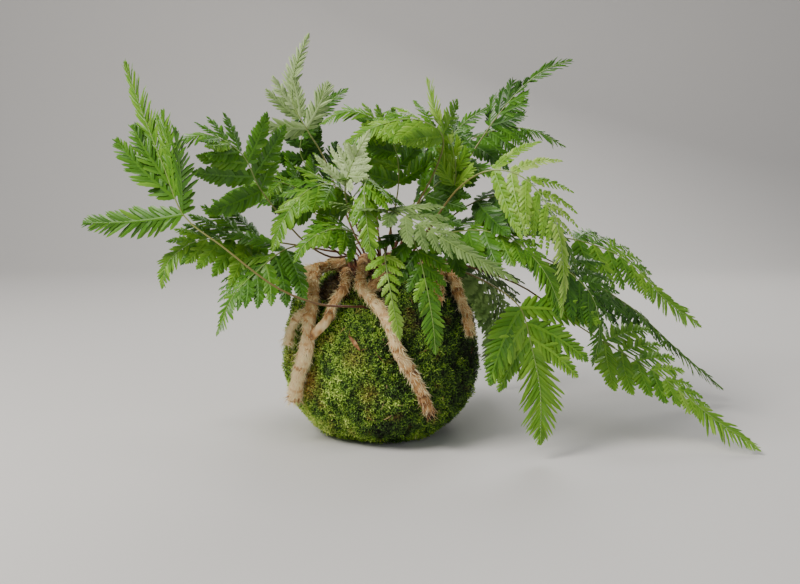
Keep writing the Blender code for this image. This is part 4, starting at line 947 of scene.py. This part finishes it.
# For each frond: the points of its stalk and rib, the number of the point where the blade starts, the
# length of its longest leaflet, the way its upper face looks at the start and at the tip, its fold, its
# fall, its habit, and how pale its green is from 0 to 1.
Frond = namedtuple("Frond", "control start reach face_start face_tip fold fall habit tone")
FRONDS = {
    "frond_left_high": (
        ((-0.0070, -0.0503, 0.0874), (-0.0081, -0.0578, 0.0931), (-0.018, -0.067, 0.095),
         (-0.036, -0.076, 0.098), (-0.061, -0.080, 0.109), (-0.092, -0.075, 0.132), (-0.116, -0.068, 0.150),
         (-0.129, -0.062, 0.180), (-0.141, -0.058, 0.210), (-0.152, -0.055, 0.241)),
        6, 0.060, (-0.4, -0.9, 0.1), (-0.3, -0.9, 0.1), 22, 0.04, "steep", 0.52,
    ),
    "frond_left_canopy": (
        ((-0.017, -0.004, 0.103), (-0.018, -0.006, 0.119), (-0.033, -0.020, 0.121), (-0.049, -0.040, 0.134),
         (-0.070, -0.062, 0.164), (-0.080, -0.070, 0.186), (-0.098, -0.082, 0.197), (-0.122, -0.092, 0.190)),
        4, 0.048, (0.1, -0.7, 0.7), (-0.5, -0.5, 0.8), 5, 0.10, "broad", 0.44,
    ),
    "frond_top_left": (
        ((-0.010, 0.006, 0.104), (-0.011, 0.006, 0.120), (-0.018, 0.006, 0.134), (-0.029, 0.004, 0.162),
         (-0.038, 0.000, 0.186), (-0.048, -0.004, 0.203), (-0.057, -0.004, 0.220), (-0.057, 0.000, 0.240),
         (-0.048, 0.012, 0.267)),
        5, 0.034, (0.3, -0.9, 0.3), (0.2, -0.9, 0.3), 16, 0.02, "steep", 0.72,
    ),
    "frond_right_front": (
        ((0.019, -0.013, 0.103), (0.020, -0.015, 0.120), (0.034, -0.032, 0.144), (0.050, -0.050, 0.167),
         (0.068, -0.062, 0.177), (0.088, -0.072, 0.171), (0.104, -0.079, 0.147), (0.109, -0.083, 0.117),
         (0.108, -0.086, 0.092)),
        4, 0.042, (0.1, -0.8, 0.5), (0.7, -0.8, 0.2), -8, 0.20, "wispy", 0.74,
    ),
    "frond_right_hang": (
        ((0.0275, -0.022, 0.102), (0.029, -0.024, 0.1175), (0.047, -0.036, 0.115), (0.068, -0.046, 0.107),
         (0.087, -0.054, 0.093), (0.094, -0.062, 0.069), (0.099, -0.068, 0.042), (0.099, -0.073, 0.011)),
        4, 0.052, (0.1, -0.9, 0.5), (0.2, -0.95, 0.1), 5, 0.10, "hanging", 0.58,
    ),
    "frond_right_far": (
        ((0.033, -0.001, 0.101), (0.035, -0.001, 0.117), (0.055, -0.002, 0.114), (0.094, -0.005, 0.100),
         (0.123, -0.010, 0.080), (0.148, -0.015, 0.064), (0.184, -0.030, 0.043), (0.213, -0.046, 0.020),
         (0.238, -0.062, 0.0035)),
        5, 0.040, (0.3, -0.6, 0.7), (0.5, -0.6, 0.6), 5, 0.08, "broad", 0.60,
    ),
    "frond_right_back": (
        ((0.026, 0.018, 0.102), (0.027, 0.019, 0.118), (0.060, 0.036, 0.120), (0.108, 0.050, 0.114),
         (0.155, 0.060, 0.094), (0.190, 0.065, 0.072), (0.225, 0.070, 0.041), (0.262, 0.074, 0.010)),
        4, 0.038, (0.3, -0.3, 0.9), (0.6, -0.2, 0.7), -10, 0.14, "broad", 0.45,
    ),
    "frond_right_arch": (
        ((0.029, 0.008, 0.102), (0.030, 0.008, 0.119), (0.055, 0.014, 0.126), (0.096, 0.020, 0.132),
         (0.135, 0.020, 0.129), (0.170, 0.020, 0.115), (0.197, 0.013, 0.088), (0.221, 0.008, 0.070)),
        4, 0.036, (0.2, -0.6, 0.8), (0.5, -0.7, 0.5), -8, 0.22, "broad", 0.58,
    ),
    "frond_right_inner": (
        ((0.023, -0.004, 0.103), (0.024, -0.005, 0.119), (0.050, -0.012, 0.126), (0.084, -0.022, 0.127),
         (0.112, -0.032, 0.118), (0.133, -0.042, 0.100), (0.138, -0.050, 0.078), (0.133, -0.057, 0.056)),
        4, 0.044, (0.2, -0.7, 0.7), (0.9, -0.5, 0.2), -8, 0.12, "broad", 0.36,
    ),
    "frond_top_right": (
        ((0.017, 0.008, 0.104), (0.018, 0.009, 0.120), (0.032, 0.016, 0.144), (0.055, 0.020, 0.177),
         (0.074, 0.020, 0.206), (0.092, 0.016, 0.229), (0.109, 0.012, 0.243), (0.127, 0.008, 0.250)),
        4, 0.026, (-0.3, -0.7, 0.6), (-0.4, -0.8, 0.5), 6, 0.06, "spear", 0.30,
    ),
    "frond_right_level": (
        ((0.021, 0.026, 0.101), (0.022, 0.027, 0.118), (0.034, 0.040, 0.144), (0.044, 0.050, 0.174),
         (0.060, 0.056, 0.196), (0.088, 0.060, 0.207), (0.112, 0.062, 0.205), (0.134, 0.062, 0.194)),
        4, 0.034, (0.0, -0.5, 0.8), (0.3, -0.5, 0.8), -10, 0.40, "broad", 0.36,
    ),
    "frond_top_arch": (
        ((0.007, -0.001, 0.104), (0.008, -0.002, 0.120), (0.018, -0.018, 0.144), (0.034, -0.030, 0.174),
         (0.040, -0.034, 0.197), (0.024, -0.038, 0.208), (0.002, -0.042, 0.205), (-0.022, -0.046, 0.193)),
        4, 0.036, (0.3, -0.6, 0.7), (-0.2, -0.7, 0.7), -8, 0.16, "broad", 0.58,
    ),
    "frond_pale_spray": (
        ((-0.004, -0.004, 0.104), (-0.004, -0.006, 0.120), (-0.012, -0.028, 0.136), (-0.019, -0.048, 0.154),
         (-0.020, -0.058, 0.168), (-0.014, -0.066, 0.184), (-0.005, -0.072, 0.200)),
        4, 0.025, (-0.2, -0.9, 0.4), (-0.1, -0.9, 0.4), 5, 0.04, "broad", 0.86,
    ),
    "frond_front_centre": (
        ((0.000, -0.013, 0.103), (0.000, -0.015, 0.120), (-0.006, -0.034, 0.138), (-0.003, -0.056, 0.1515),
         (0.010, -0.076, 0.1525), (0.034, -0.091, 0.1400), (0.057, -0.099, 0.1270), (0.079, -0.104, 0.1150)),
        3, 0.040, (0.3, -0.7, 0.7), (0.4, -0.7, 0.6), 4, 0.10, "slender", 0.50,
    ),
    "frond_front_hang": (
        ((0.011, -0.020, 0.103), (0.012, -0.022, 0.119), (0.015, -0.040, 0.134), (0.018, -0.060, 0.140),
         (0.023, -0.075, 0.131), (0.028, -0.084, 0.112), (0.032, -0.088, 0.090), (0.034, -0.089, 0.070)),
        3, 0.030, (0.1, -0.9, 0.5), (0.2, -0.98, 0.0), -8, 0.12, "broad", 0.44,
    ),
    "frond_front_left": (
        ((0.002, -0.028, 0.102), (0.002, -0.030, 0.117), (-0.006, -0.045, 0.130), (-0.0155, -0.0600, 0.1391),
         (-0.0245, -0.0700, 0.1422), (-0.0340, -0.0780, 0.1403), (-0.0429, -0.0840, 0.1337),
         (-0.0484, -0.0880, 0.1242)),
        3, 0.025, (-0.2, -0.8, 0.6), (-0.4, -0.9, 0.2), -4, 0.12, "broad", 0.50,
    ),
    "frond_left_low": (
        ((-0.021, 0.003, 0.103), (-0.022, 0.003, 0.119), (-0.038, -0.004, 0.124), (-0.056, -0.012, 0.128),
         (-0.076, -0.026, 0.132), (-0.097, -0.042, 0.134), (-0.114, -0.052, 0.133), (-0.128, -0.060, 0.122),
         (-0.132, -0.064, 0.106)),
        4, 0.046, (0.0, -0.8, 0.6), (-0.3, -0.8, 0.5), -5, 0.10, "broad", 0.56,
    ),
    "frond_left_droop": (
        ((-0.0255, 0.000, 0.102), (-0.026, -0.001, 0.119), (-0.040, -0.020, 0.129), (-0.058, -0.044, 0.128),
         (-0.074, -0.060, 0.116), (-0.087, -0.072, 0.102), (-0.096, -0.081, 0.080)),
        3, 0.042, (-0.2, -0.8, 0.6), (-0.7, -0.7, 0.2), -6, 0.12, "broad", 0.45,
    ),
    "frond_dark_spire": (
        ((-0.006, 0.014, 0.104), (-0.006, 0.015, 0.120), (-0.020, 0.022, 0.144), (-0.040, 0.026, 0.168),
         (-0.055, 0.024, 0.186), (-0.052, 0.018, 0.204), (-0.038, 0.012, 0.220), (-0.022, 0.008, 0.231)),
        3, 0.034, (0.2, -0.8, 0.5), (-0.3, -0.8, 0.5), 6, 0.06, "broad", 0.30,
    ),
    "frond_upright": (
        ((0.014, -0.007, 0.103), (0.015, -0.008, 0.120), (0.034, -0.012, 0.140), (0.048, -0.018, 0.166),
         (0.047, -0.022, 0.190), (0.036, -0.024, 0.212), (0.030, -0.024, 0.234)),
        3, 0.022, (-0.7, -0.7, 0.1), (-0.8, -0.6, 0.1), 10, 0.04, "spear", 0.72,
    ),
    "frond_right_mid": (
        ((0.019, 0.001, 0.103), (0.020, 0.001, 0.120), (0.040, -0.002, 0.140), (0.062, -0.010, 0.156),
         (0.084, -0.018, 0.160), (0.104, -0.026, 0.150), (0.118, -0.032, 0.132), (0.126, -0.036, 0.112)),
        3, 0.050, (0.1, -0.4, 0.9), (0.7, -0.5, 0.5), -8, 0.14, "broad", 0.40,
    ),
    "frond_centre_up": (
        ((0.002, 0.008, 0.104), (0.003, 0.008, 0.120), (0.008, 0.002, 0.144), (0.012, -0.006, 0.168),
         (0.010, -0.014, 0.190), (-0.002, -0.020, 0.208), (-0.020, -0.024, 0.214), (-0.038, -0.026, 0.206)),
        3, 0.040, (0.3, -0.7, 0.6), (-0.2, -0.5, 0.8), -4, 0.10, "broad", 0.50,
    ),
    "frond_left_mid": (
        ((-0.013, 0.011, 0.103), (-0.014, 0.012, 0.120), (-0.028, 0.010, 0.136), (-0.044, 0.004, 0.154),
         (-0.058, -0.004, 0.166), (-0.074, -0.014, 0.170), (-0.092, -0.024, 0.164), (-0.108, -0.032, 0.152)),
        3, 0.042, (0.0, -0.6, 0.8), (-0.5, -0.5, 0.7), -6, 0.12, "broad", 0.46,
    ),
    "frond_centre_low": (
        ((0.012, -0.030, 0.101), (0.013, -0.032, 0.116), (0.010, -0.052, 0.129), (0.006, -0.068, 0.134),
         (0.0042, -0.0800, 0.1275), (0.0061, -0.0890, 0.1150), (0.0084, -0.0920, 0.1025),
         (0.0107, -0.0930, 0.0910), (0.0130, -0.0930, 0.0793)),
        4, 0.013, (0.0, -0.8, 0.6), (0.3, -0.95, 0.1), -6, 0.10, "broad", 0.72,
    ),
    "frond_centre_left": (
        ((0.0045, -0.0075, 0.104), (0.0042, -0.009, 0.120), (-0.004, -0.022, 0.140), (-0.016, -0.036, 0.158),
         (-0.030, -0.050, 0.168), (-0.044, -0.062, 0.164), (-0.056, -0.072, 0.148), (-0.062, -0.080, 0.130)),
        3, 0.038, (0.0, -0.7, 0.7), (-0.4, -0.8, 0.4), -6, 0.10, "broad", 0.52,
    ),
    "frond_centre_back": (
        ((0.0115, 0.0155, 0.103), (0.012, 0.0165, 0.120), (0.020, 0.022, 0.146), (0.030, 0.026, 0.172),
         (0.044, 0.028, 0.194), (0.058, 0.028, 0.210), (0.074, 0.024, 0.220)),
        3, 0.040, (-0.1, -0.7, 0.6), (-0.2, -0.7, 0.6), 4, 0.08, "broad", 0.32,
    ),
    "frond_right_low": (
        ((0.0125, 0.0005, 0.104), (0.0135, 0.0000, 0.120), (0.028, -0.010, 0.130), (0.046, -0.024, 0.137),
         (0.066, -0.038, 0.139), (0.086, -0.047, 0.132), (0.102, -0.055, 0.115), (0.112, -0.062, 0.092)),
        3, 0.040, (0.2, -0.7, 0.7), (0.5, -0.8, 0.3), -6, 0.12, "broad", 0.48,
    ),
    "frond_centre_mid": (
        ((0.0085, -0.0135, 0.103), (0.0085, -0.015, 0.120), (0.006, -0.032, 0.146), (0.000, -0.050, 0.166),
         (-0.006, -0.064, 0.172), (-0.008, -0.078, 0.164), (-0.006, -0.088, 0.146),
         (-0.003, -0.093, 0.126)),
        3, 0.038, (0.0, -0.7, 0.7), (0.0, -0.95, 0.3), -6, 0.10, "broad", 0.56,
    ),
    "frond_centre_right": (
        ((0.0075, 0.0062, 0.104), (0.008, 0.006, 0.120), (0.014, 0.000, 0.138), (0.024, -0.008, 0.153),
         (0.036, -0.014, 0.167), (0.050, -0.018, 0.177), (0.066, -0.022, 0.178), (0.080, -0.026, 0.170)),
        3, 0.038, (0.0, -0.7, 0.7), (0.3, -0.7, 0.6), -6, 0.12, "broad", 0.40,
    ),
    "frond_back_right_low": (
        ((0.020, 0.031, 0.100), (0.021, 0.032, 0.117), (0.040, 0.056, 0.122), (0.060, 0.078, 0.112),
         (0.076, 0.092, 0.092), (0.085, 0.100, 0.068), (0.087, 0.104, 0.042), (0.083, 0.105, 0.018)),
        3, 0.050, (0.3, 0.4, 0.8), (0.5, 0.85, 0.2), -6, 0.12, "broad", 0.30,
    ),
    "frond_back_up": (
        ((-0.001, 0.028, 0.102), (-0.001, 0.029, 0.119), (-0.004, 0.046, 0.148), (-0.004, 0.064, 0.178),
         (0.002, 0.084, 0.200), (0.008, 0.108, 0.206), (0.012, 0.134, 0.194)),
        3, 0.044, (0.0, -0.4, 0.9), (0.0, 0.6, 0.8), -6, 0.12, "broad", 0.40,
    ),
    "frond_back_left": (
        ((-0.015, 0.023, 0.101), (-0.016, 0.024, 0.117), (-0.038, 0.044, 0.136), (-0.062, 0.062, 0.156),
         (-0.086, 0.078, 0.162), (-0.112, 0.094, 0.150), (-0.134, 0.106, 0.126)),
        3, 0.046, (0.1, -0.2, 1.0), (-0.5, 0.4, 0.7), -6, 0.12, "broad", 0.42,
    ),
    "frond_back_low": (
        ((-0.008, 0.032, 0.100), (-0.008, 0.033, 0.117), (-0.017, 0.058, 0.124), (-0.030, 0.086, 0.110),
         (-0.040, 0.102, 0.090), (-0.046, 0.112, 0.064), (-0.048, 0.116, 0.038)),
        3, 0.040, (0.0, 0.5, 0.8), (-0.2, 0.95, 0.1), -6, 0.12, "broad", 0.40,
    ),
}

# Fronds that turn their paler under face to the front, and the places of a frond's materials in its list.
SHOWS_UNDER_FACE = ("frond_top_left", "frond_pale_spray", "frond_front_centre")
UPPER_FACE, UNDER_FACE, STALK_FACE = 0, 1, 2

LEAF_TONES = (
    (0.00, (0.007, 0.028, 0.003)),
    (0.30, (0.030, 0.112, 0.005)),
    (0.55, (0.100, 0.285, 0.011)),
    (0.78, (0.260, 0.510, 0.032)),
    (1.00, (0.560, 0.740, 0.180)),
)
UNDER_TONES = (
    (0.00, (0.020, 0.060, 0.012)),
    (0.40, (0.105, 0.205, 0.036)),
    (0.70, (0.290, 0.440, 0.120)),
    (1.00, (0.640, 0.770, 0.400)),
)
STALK_TONES = (
    (0.00, (0.060, 0.018, 0.010)),
    (0.25, (0.130, 0.045, 0.020)),
    (0.50, (0.190, 0.150, 0.040)),
    (1.00, (0.230, 0.360, 0.080)),
)


def blade_axes(frond, places):
    """Points, forward, across and up directions of the rib. Below the blade the across is carried down."""
    control, start = frond.control, frond.start
    last = len(control) - 1
    places = np.clip(np.atleast_1d(places), 0, last)
    point = smooth_path(control, places)
    forward = unit(smooth_path(control, places + 0.05) - smooth_path(control, places - 0.05))
    share = np.clip((places - start) / (last - start), 0, 1)[:, None]
    face = np.array(frond.face_start) * (1 - share) + np.array(frond.face_tip) * share
    up = unit(face - forward * (face * forward).sum(axis=1)[:, None])
    across = np.cross(forward, up)
    if places.min() < start:
        held = np.broadcast_to(blade_axes(frond, [start])[2], across.shape)
        held = unit(held - forward * (held * forward).sum(axis=1)[:, None])
        across = np.where((places < start)[:, None], held, across)
    return point, forward, across, np.cross(across, forward)


def leaflet_angle(frond, share):
    """Radians between a leaflet and the rib. They close towards the tip, and at once on a steep blade."""
    habit = HABITS[frond.habit]
    speed = 0.35 if frond.habit == "steep" else 1
    closed = min(share / habit.tip_from, 1) ** speed
    return math.radians(habit.first_angle + (habit.last_angle - habit.first_angle) * closed)


def leaflet_rib(frond, place, side, share, lift, shorter):
    """A leaflet's length, and its rib as a function of shares of that length: bent forward and down."""
    point, forward, across, up = (found[0] for found in blade_axes(frond, [place]))
    length = frond.reach * (1 - 0.9 * share) ** 1.5 * shorter
    angle = leaflet_angle(frond, share)
    tilt = math.radians(frond.fold + lift)
    out = side * across * math.cos(tilt) + up * math.sin(tilt)
    face = up * math.cos(tilt) - side * across * math.sin(tilt)
    ahead = math.cos(angle) * forward + math.sin(angle) * out
    front = math.sin(angle) * forward - math.cos(angle) * out

    def rib(parts):
        """Points, slopes and upward directions at these shares of the leaflet's length."""
        part = np.asarray(parts, float)[:, None]
        down = np.array((0, 0, frond.fall))
        here = point + length * (part * ahead + LEAFLET_BEND * part**2 * front - part**2 * down)
        slope = unit(ahead + 2 * LEAFLET_BEND * part * front - 2 * part * down)
        level = unit(face - slope * (slope @ face)[:, None])
        return here, slope, level

    return length, rib


def bends_of_solid(frond, tree):
    """For each side, the share, lift and shortening of each leaflet of the solid: the longest rib on it."""
    length, places = places_by_length(frond.control, frond.start, len(frond.control) - 1)
    habit = HABITS[frond.habit]
    pairs = habit.pairs if length > LONG_BLADE or habit.pairs < 4 else habit.pairs - 1
    shares = habit.tip_from * (1 - (1 - np.arange(pairs) / pairs) ** 1.35)
    found = {1: [], -1: []}
    for share in shares:
        place = np.interp(share + BLADE_FOOT / length, PATH_SHARES, places)
        for side in (1, -1):
            for shorter in SHORTER:
                far = []
                for lift in LIFTS:
                    here = leaflet_rib(frond, place, side, share, lift, shorter)[1]((0.30, 0.62, 0.94))[0]
                    far.append(max(tree.find_nearest(Vector(point))[3] for point in here))
                if min(far) < NEAR_SOLID:
                    found[side].append((share, LIFTS[far.index(min(far))], shorter))
                    break
    return found


# Stations of a long and of a short segment: the share of its length, and its half width as a share. A
# segment longer than LONG_FROM is a long one.
LONG_SEGMENT = np.array(((0, 0.24, 0.32, 0.54, 0.62, 0.84), (0.76, 1.0, 0.84, 0.96, 0.74, 0.62)))
SHORT_SEGMENT = np.array(((0, 0.34, 0.70), (0.80, 1.0, 0.66)))
LONG_FROM = 0.0042


def leaf_segments(stations, base, along, level, length, width, droop, fold):
    """Leaf segments as closed wedges: at each station a left, a right and a top point, and a tip.

    The edges lie fold times the half width under the top, and the whole falls by droop times the square of
    the way out. Where the half width drops between two stations, the edge has a tooth.
    """
    way, wide = stations
    across = np.cross(level, along)
    half = width[:, None] * wide
    sink = droop[:, None] * way**2 * length[:, None]
    middle = base[:, None] + (way * length[:, None])[..., None] * along[:, None]
    middle = middle - sink[..., None] * level[:, None]
    edge = half[..., None] * across[:, None]
    low = (fold[:, None] * half + LEAF_THICKNESS)[..., None] * level[:, None]
    tip = base + along * length[:, None] - level * (droop * length)[:, None]
    top = middle + LEAF_THICKNESS * level[:, None]
    rings = np.stack([middle + edge - low, middle - edge - low, top], axis=2)
    points = np.concatenate([rings.reshape(len(base), -1, 3), tip[:, None]], axis=1)
    upper, under = [], []
    for left in range(0, 3 * len(way) - 3, 3):
        right, top = left + 1, left + 2
        upper += [(left, top, top + 3, left + 3), (top, right, right + 3, top + 3)]
        under.append((left, left + 3, right + 3, right))
    left, right, top, end = len(way) * 3 - 3 + np.arange(4)
    blocks = [np.array(upper), np.array([(left, top, end), (top, right, end)]), np.array(under),
              np.array([(left, end, right), (0, 1, 2)])]
    first = (np.arange(len(base)) * (3 * len(way) + 1))[:, None, None]
    return points, [(first + block[None]).reshape(-1, block.shape[1]) for block in blocks]


def profile(part, drawn):
    """Half width of a leaflet along its rib, as a share of the widest: it swells, then narrows to a point."""
    return np.minimum(1, 0.66 + 1.3 * part) * (1 - part**1.7) ** drawn + 0.03


def rows_of_segments(rib, length, half, random, tone, slant, close=1.0, drawn=0.8):
    """Base, direction, level, length, width, droop, fold and tone of the segments on both sides of a rib.

    Each segment is twisted a little the same way, so that it laps over the next like a shingle.
    """
    count = round(FEWEST_SEGMENTS + length / SEGMENT_SPACING * close)
    step = (np.arange(count) + 0.35) / count
    part = 1 - (1 - step) ** 1.25
    pitch = 1.25 * (1 - step) ** 0.25 / count * length
    rows = []
    for side in (1, -1):
        shift = 0.25 / count * (side < 0)
        here, slope, level = rib(np.clip(part + shift * (1 - part), 0, 1))
        out = side * np.cross(slope, level)
        angle = np.radians(slant - 22 * part + random.normal(0, 3.0, count))[:, None]
        along = np.cos(angle) * slope + np.sin(angle) * out
        lift = random.normal(-0.05, 0.09, count)[:, None]
        twist = side * random.normal(0.22, 0.12, count)[:, None]
        along = unit(along + lift * level)
        flat = unit(level + twist * np.cross(level, along))
        flat = unit(flat - along * (flat * along).sum(axis=1)[:, None])
        long = half * profile(part, drawn) / np.sin(angle[:, 0]) * random.normal(1, 0.05, count)
        wide = 0.66 * pitch * random.normal(1, 0.06, count) * np.sin(angle[:, 0]) / 0.8
        rows.append((here, along, flat, long, np.minimum(wide, 0.55 * long)))
    here, slope, level = rib([0.93])
    rows.append((here, slope, level, np.array([0.08 * length + 0.0007]), np.array([0.018 * length + 0.0004])))
    base, along, flat, long, wide = (np.concatenate(found) for found in zip(*rows))
    droop = random.uniform(0.02, 0.28, len(base))
    fold = random.uniform(0.0, 0.45, len(base))
    shade = tone + random.normal(0, 0.05, len(base))
    return base, along, flat, long, wide, droop, fold, shade


def frond_stalk(frond, places):
    """The stalk and the rib as one rod that thins to the tip, brown at its foot: points, faces and tones."""
    on_blade = places[1::9]
    below = 4 * frond.start
    last = len(frond.control) - 1
    stalk_places = np.concatenate([[0], np.linspace(0.6, frond.start, below), on_blade, [last]])
    run = np.concatenate([np.linspace(0, 0.5, below + 1), np.linspace(0.5, 1, len(on_blade) + 1)])
    middle, _, across, up = blade_axes(frond, stalk_places)
    radius = np.interp(run, (0, 0.1, 0.5, 1), (STALK_RADIUS * 1.25, STALK_RADIUS, RIB_RADIUS, TIP_RADIUS))
    points, sides, caps = rod(middle, across, up, radius, STALK_SIDES)
    green = np.clip(1.45 * run - 0.02 + 0.25 * (frond.tone - 0.5), 0, 1)
    return points, (sides, caps), np.append(np.repeat(green, STALK_SIDES), (green[0], green[-1]))


def frond_leaflets(frond, tree, length, places, random):
    """All leaflets of a blade: the green strip along each rib as a part, and the rows of its segments."""
    habit = HABITS[frond.habit]
    bends = bends_of_solid(frond, tree)
    count = max(habit.pairs + 1, round(habit.tip_from * length / LEAFLET_SPACING))
    shares = habit.tip_from * (1 - (1 - np.arange(count) / count) ** 1.25)
    gaps = np.diff(np.append(shares, habit.tip_from)) * length
    strips, segments = [], []
    for share, gap in zip(shares, gaps):
        place = np.interp(share + BLADE_FOOT / length, PATH_SHARES, places)
        for side in (1, -1):
            if not bends[side]:
                continue
            near = np.array(bends[side])
            lift = np.interp(share, near[:, 0], near[:, 1]) + random.normal(0, 3.5)
            shorter = np.interp(share, near[:, 0], near[:, 2]) * random.uniform(0.94, 1.02)
            stagger = place + side * 0.12 * gap / length
            long, rib = leaflet_rib(frond, stagger, side, share, lift, shorter)
            apart = 0.80 * gap * math.sin(leaflet_angle(frond, share))
            half = habit.full * min(0.28 * long, max(apart, 0.14 * long) + 0.0006)
            shade = frond.tone + random.normal(0, 0.06) + 0.10 * share
            segments.append(rows_of_segments(rib, long, half, random, shade, habit.slant))
            here, slope, level = rib(np.linspace(0, 0.95, 7))
            thin = np.linspace(1, 0.35, 7)[:, None] * np.array((WING, VEIN_RADIUS, WING, VEIN_RADIUS))
            points, sides, caps = rod(here, np.cross(slope, level), level, thin * habit.full, 4)
            strips.append((points, (sides, caps), np.full(len(points), shade + 0.08)))
    return strips, segments


def frond_tip(frond, length, places, random):
    """The rows of segments along the last part of the rib, which has no leaflets."""
    habit = HABITS[frond.habit]

    def rib(parts):
        """Points, slopes and upward directions at these shares of the tip's length."""
        shares = habit.tip_from + (1 - habit.tip_from) * np.asarray(parts)
        point, forward, _, level = blade_axes(frond, np.interp(shares, PATH_SHARES, places))
        return point, forward, level

    tip_length = (1 - habit.tip_from) * length
    half = 1.1 * habit.tip_half * length
    return rows_of_segments(rib, tip_length, half, random, frond.tone + 0.08, habit.slant - 6,
                            close=1.6, drawn=1.0)


def build_frond(name, frond, material_set):
    """A frond as one mesh: its stalk and rib, the strips along its leaflets, and all its segments.

    The seed of its random draws comes from the place of its tip and the length of its name.
    """
    random = np.random.default_rng(int(abs(frond.control[-1][0]) * 1e5) + len(name))
    tree = BVHTree.FromObject(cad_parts[name], bpy.context.evaluated_depsgraph_get())
    length, places = places_by_length(frond.control, frond.start, len(frond.control) - 1)
    strips, segments = frond_leaflets(frond, tree, length, places, random)
    segments.append(frond_tip(frond, length, places, random))
    parts = [frond_stalk(frond, places)] + strips
    block_materials = [STALK_FACE] * 2 + [UPPER_FACE] * 2 * len(strips)
    values = [np.concatenate(found) for found in zip(*segments)]
    long_ones = values[3] > LONG_FROM
    for stations, chosen in ((LONG_SEGMENT, long_ones), (SHORT_SEGMENT, ~long_ones)):
        *shape, shade = (value[chosen] for value in values)
        points, blocks = leaf_segments(stations, *shape)
        edge_tone, top_tone = stations[0] * 0.14 + 0.01, stations[0] * 0.14 - 0.05
        paler = np.append(np.stack([edge_tone, edge_tone, top_tone], axis=1), 0.14)
        parts.append((points.reshape(-1, 3), blocks, (shade[:, None] + paler).ravel()))
        block_materials += [UPPER_FACE, UPPER_FACE, UNDER_FACE, UNDER_FACE]
    points, faces, tones = joined(parts)
    face_material = np.repeat(block_materials, [len(block) for block in faces])
    made = add_mesh(name + "_leaves", points, faces, material_set, face_material, values={"tone": tones},
                    smooth=False)
    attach(made, "root")
    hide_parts(name)


def frond_materials():
    """The upper face, the paler under face, and the stalk."""
    upper, shader = principled("frond upper", (0.1, 0.26, 0.03), 0.42)
    ramp = shade_by(upper, shader, "tone", LEAF_TONES)
    shader.inputs["Specular IOR Level"].default_value = 0.45
    let_light_through(upper, shader, 0.30, ramp)
    under, shader = principled("frond under", (0.2, 0.34, 0.1), 0.6)
    ramp = shade_by(under, shader, "tone", UNDER_TONES)
    let_light_through(under, shader, 0.30, ramp)
    stalk, shader = principled("frond stalk", (0.2, 0.15, 0.05), 0.45)
    shade_by(stalk, shader, "tone", STALK_TONES)
    return [upper, under, stalk]


UPPER, UNDER, STALK = frond_materials()
for frond_name, frond_values in FRONDS.items():
    faces_shown = [UNDER, UPPER] if frond_name in SHOWS_UNDER_FACE else [UPPER, UNDER]
    build_frond(frond_name, Frond(*frond_values), faces_shown + [STALK])
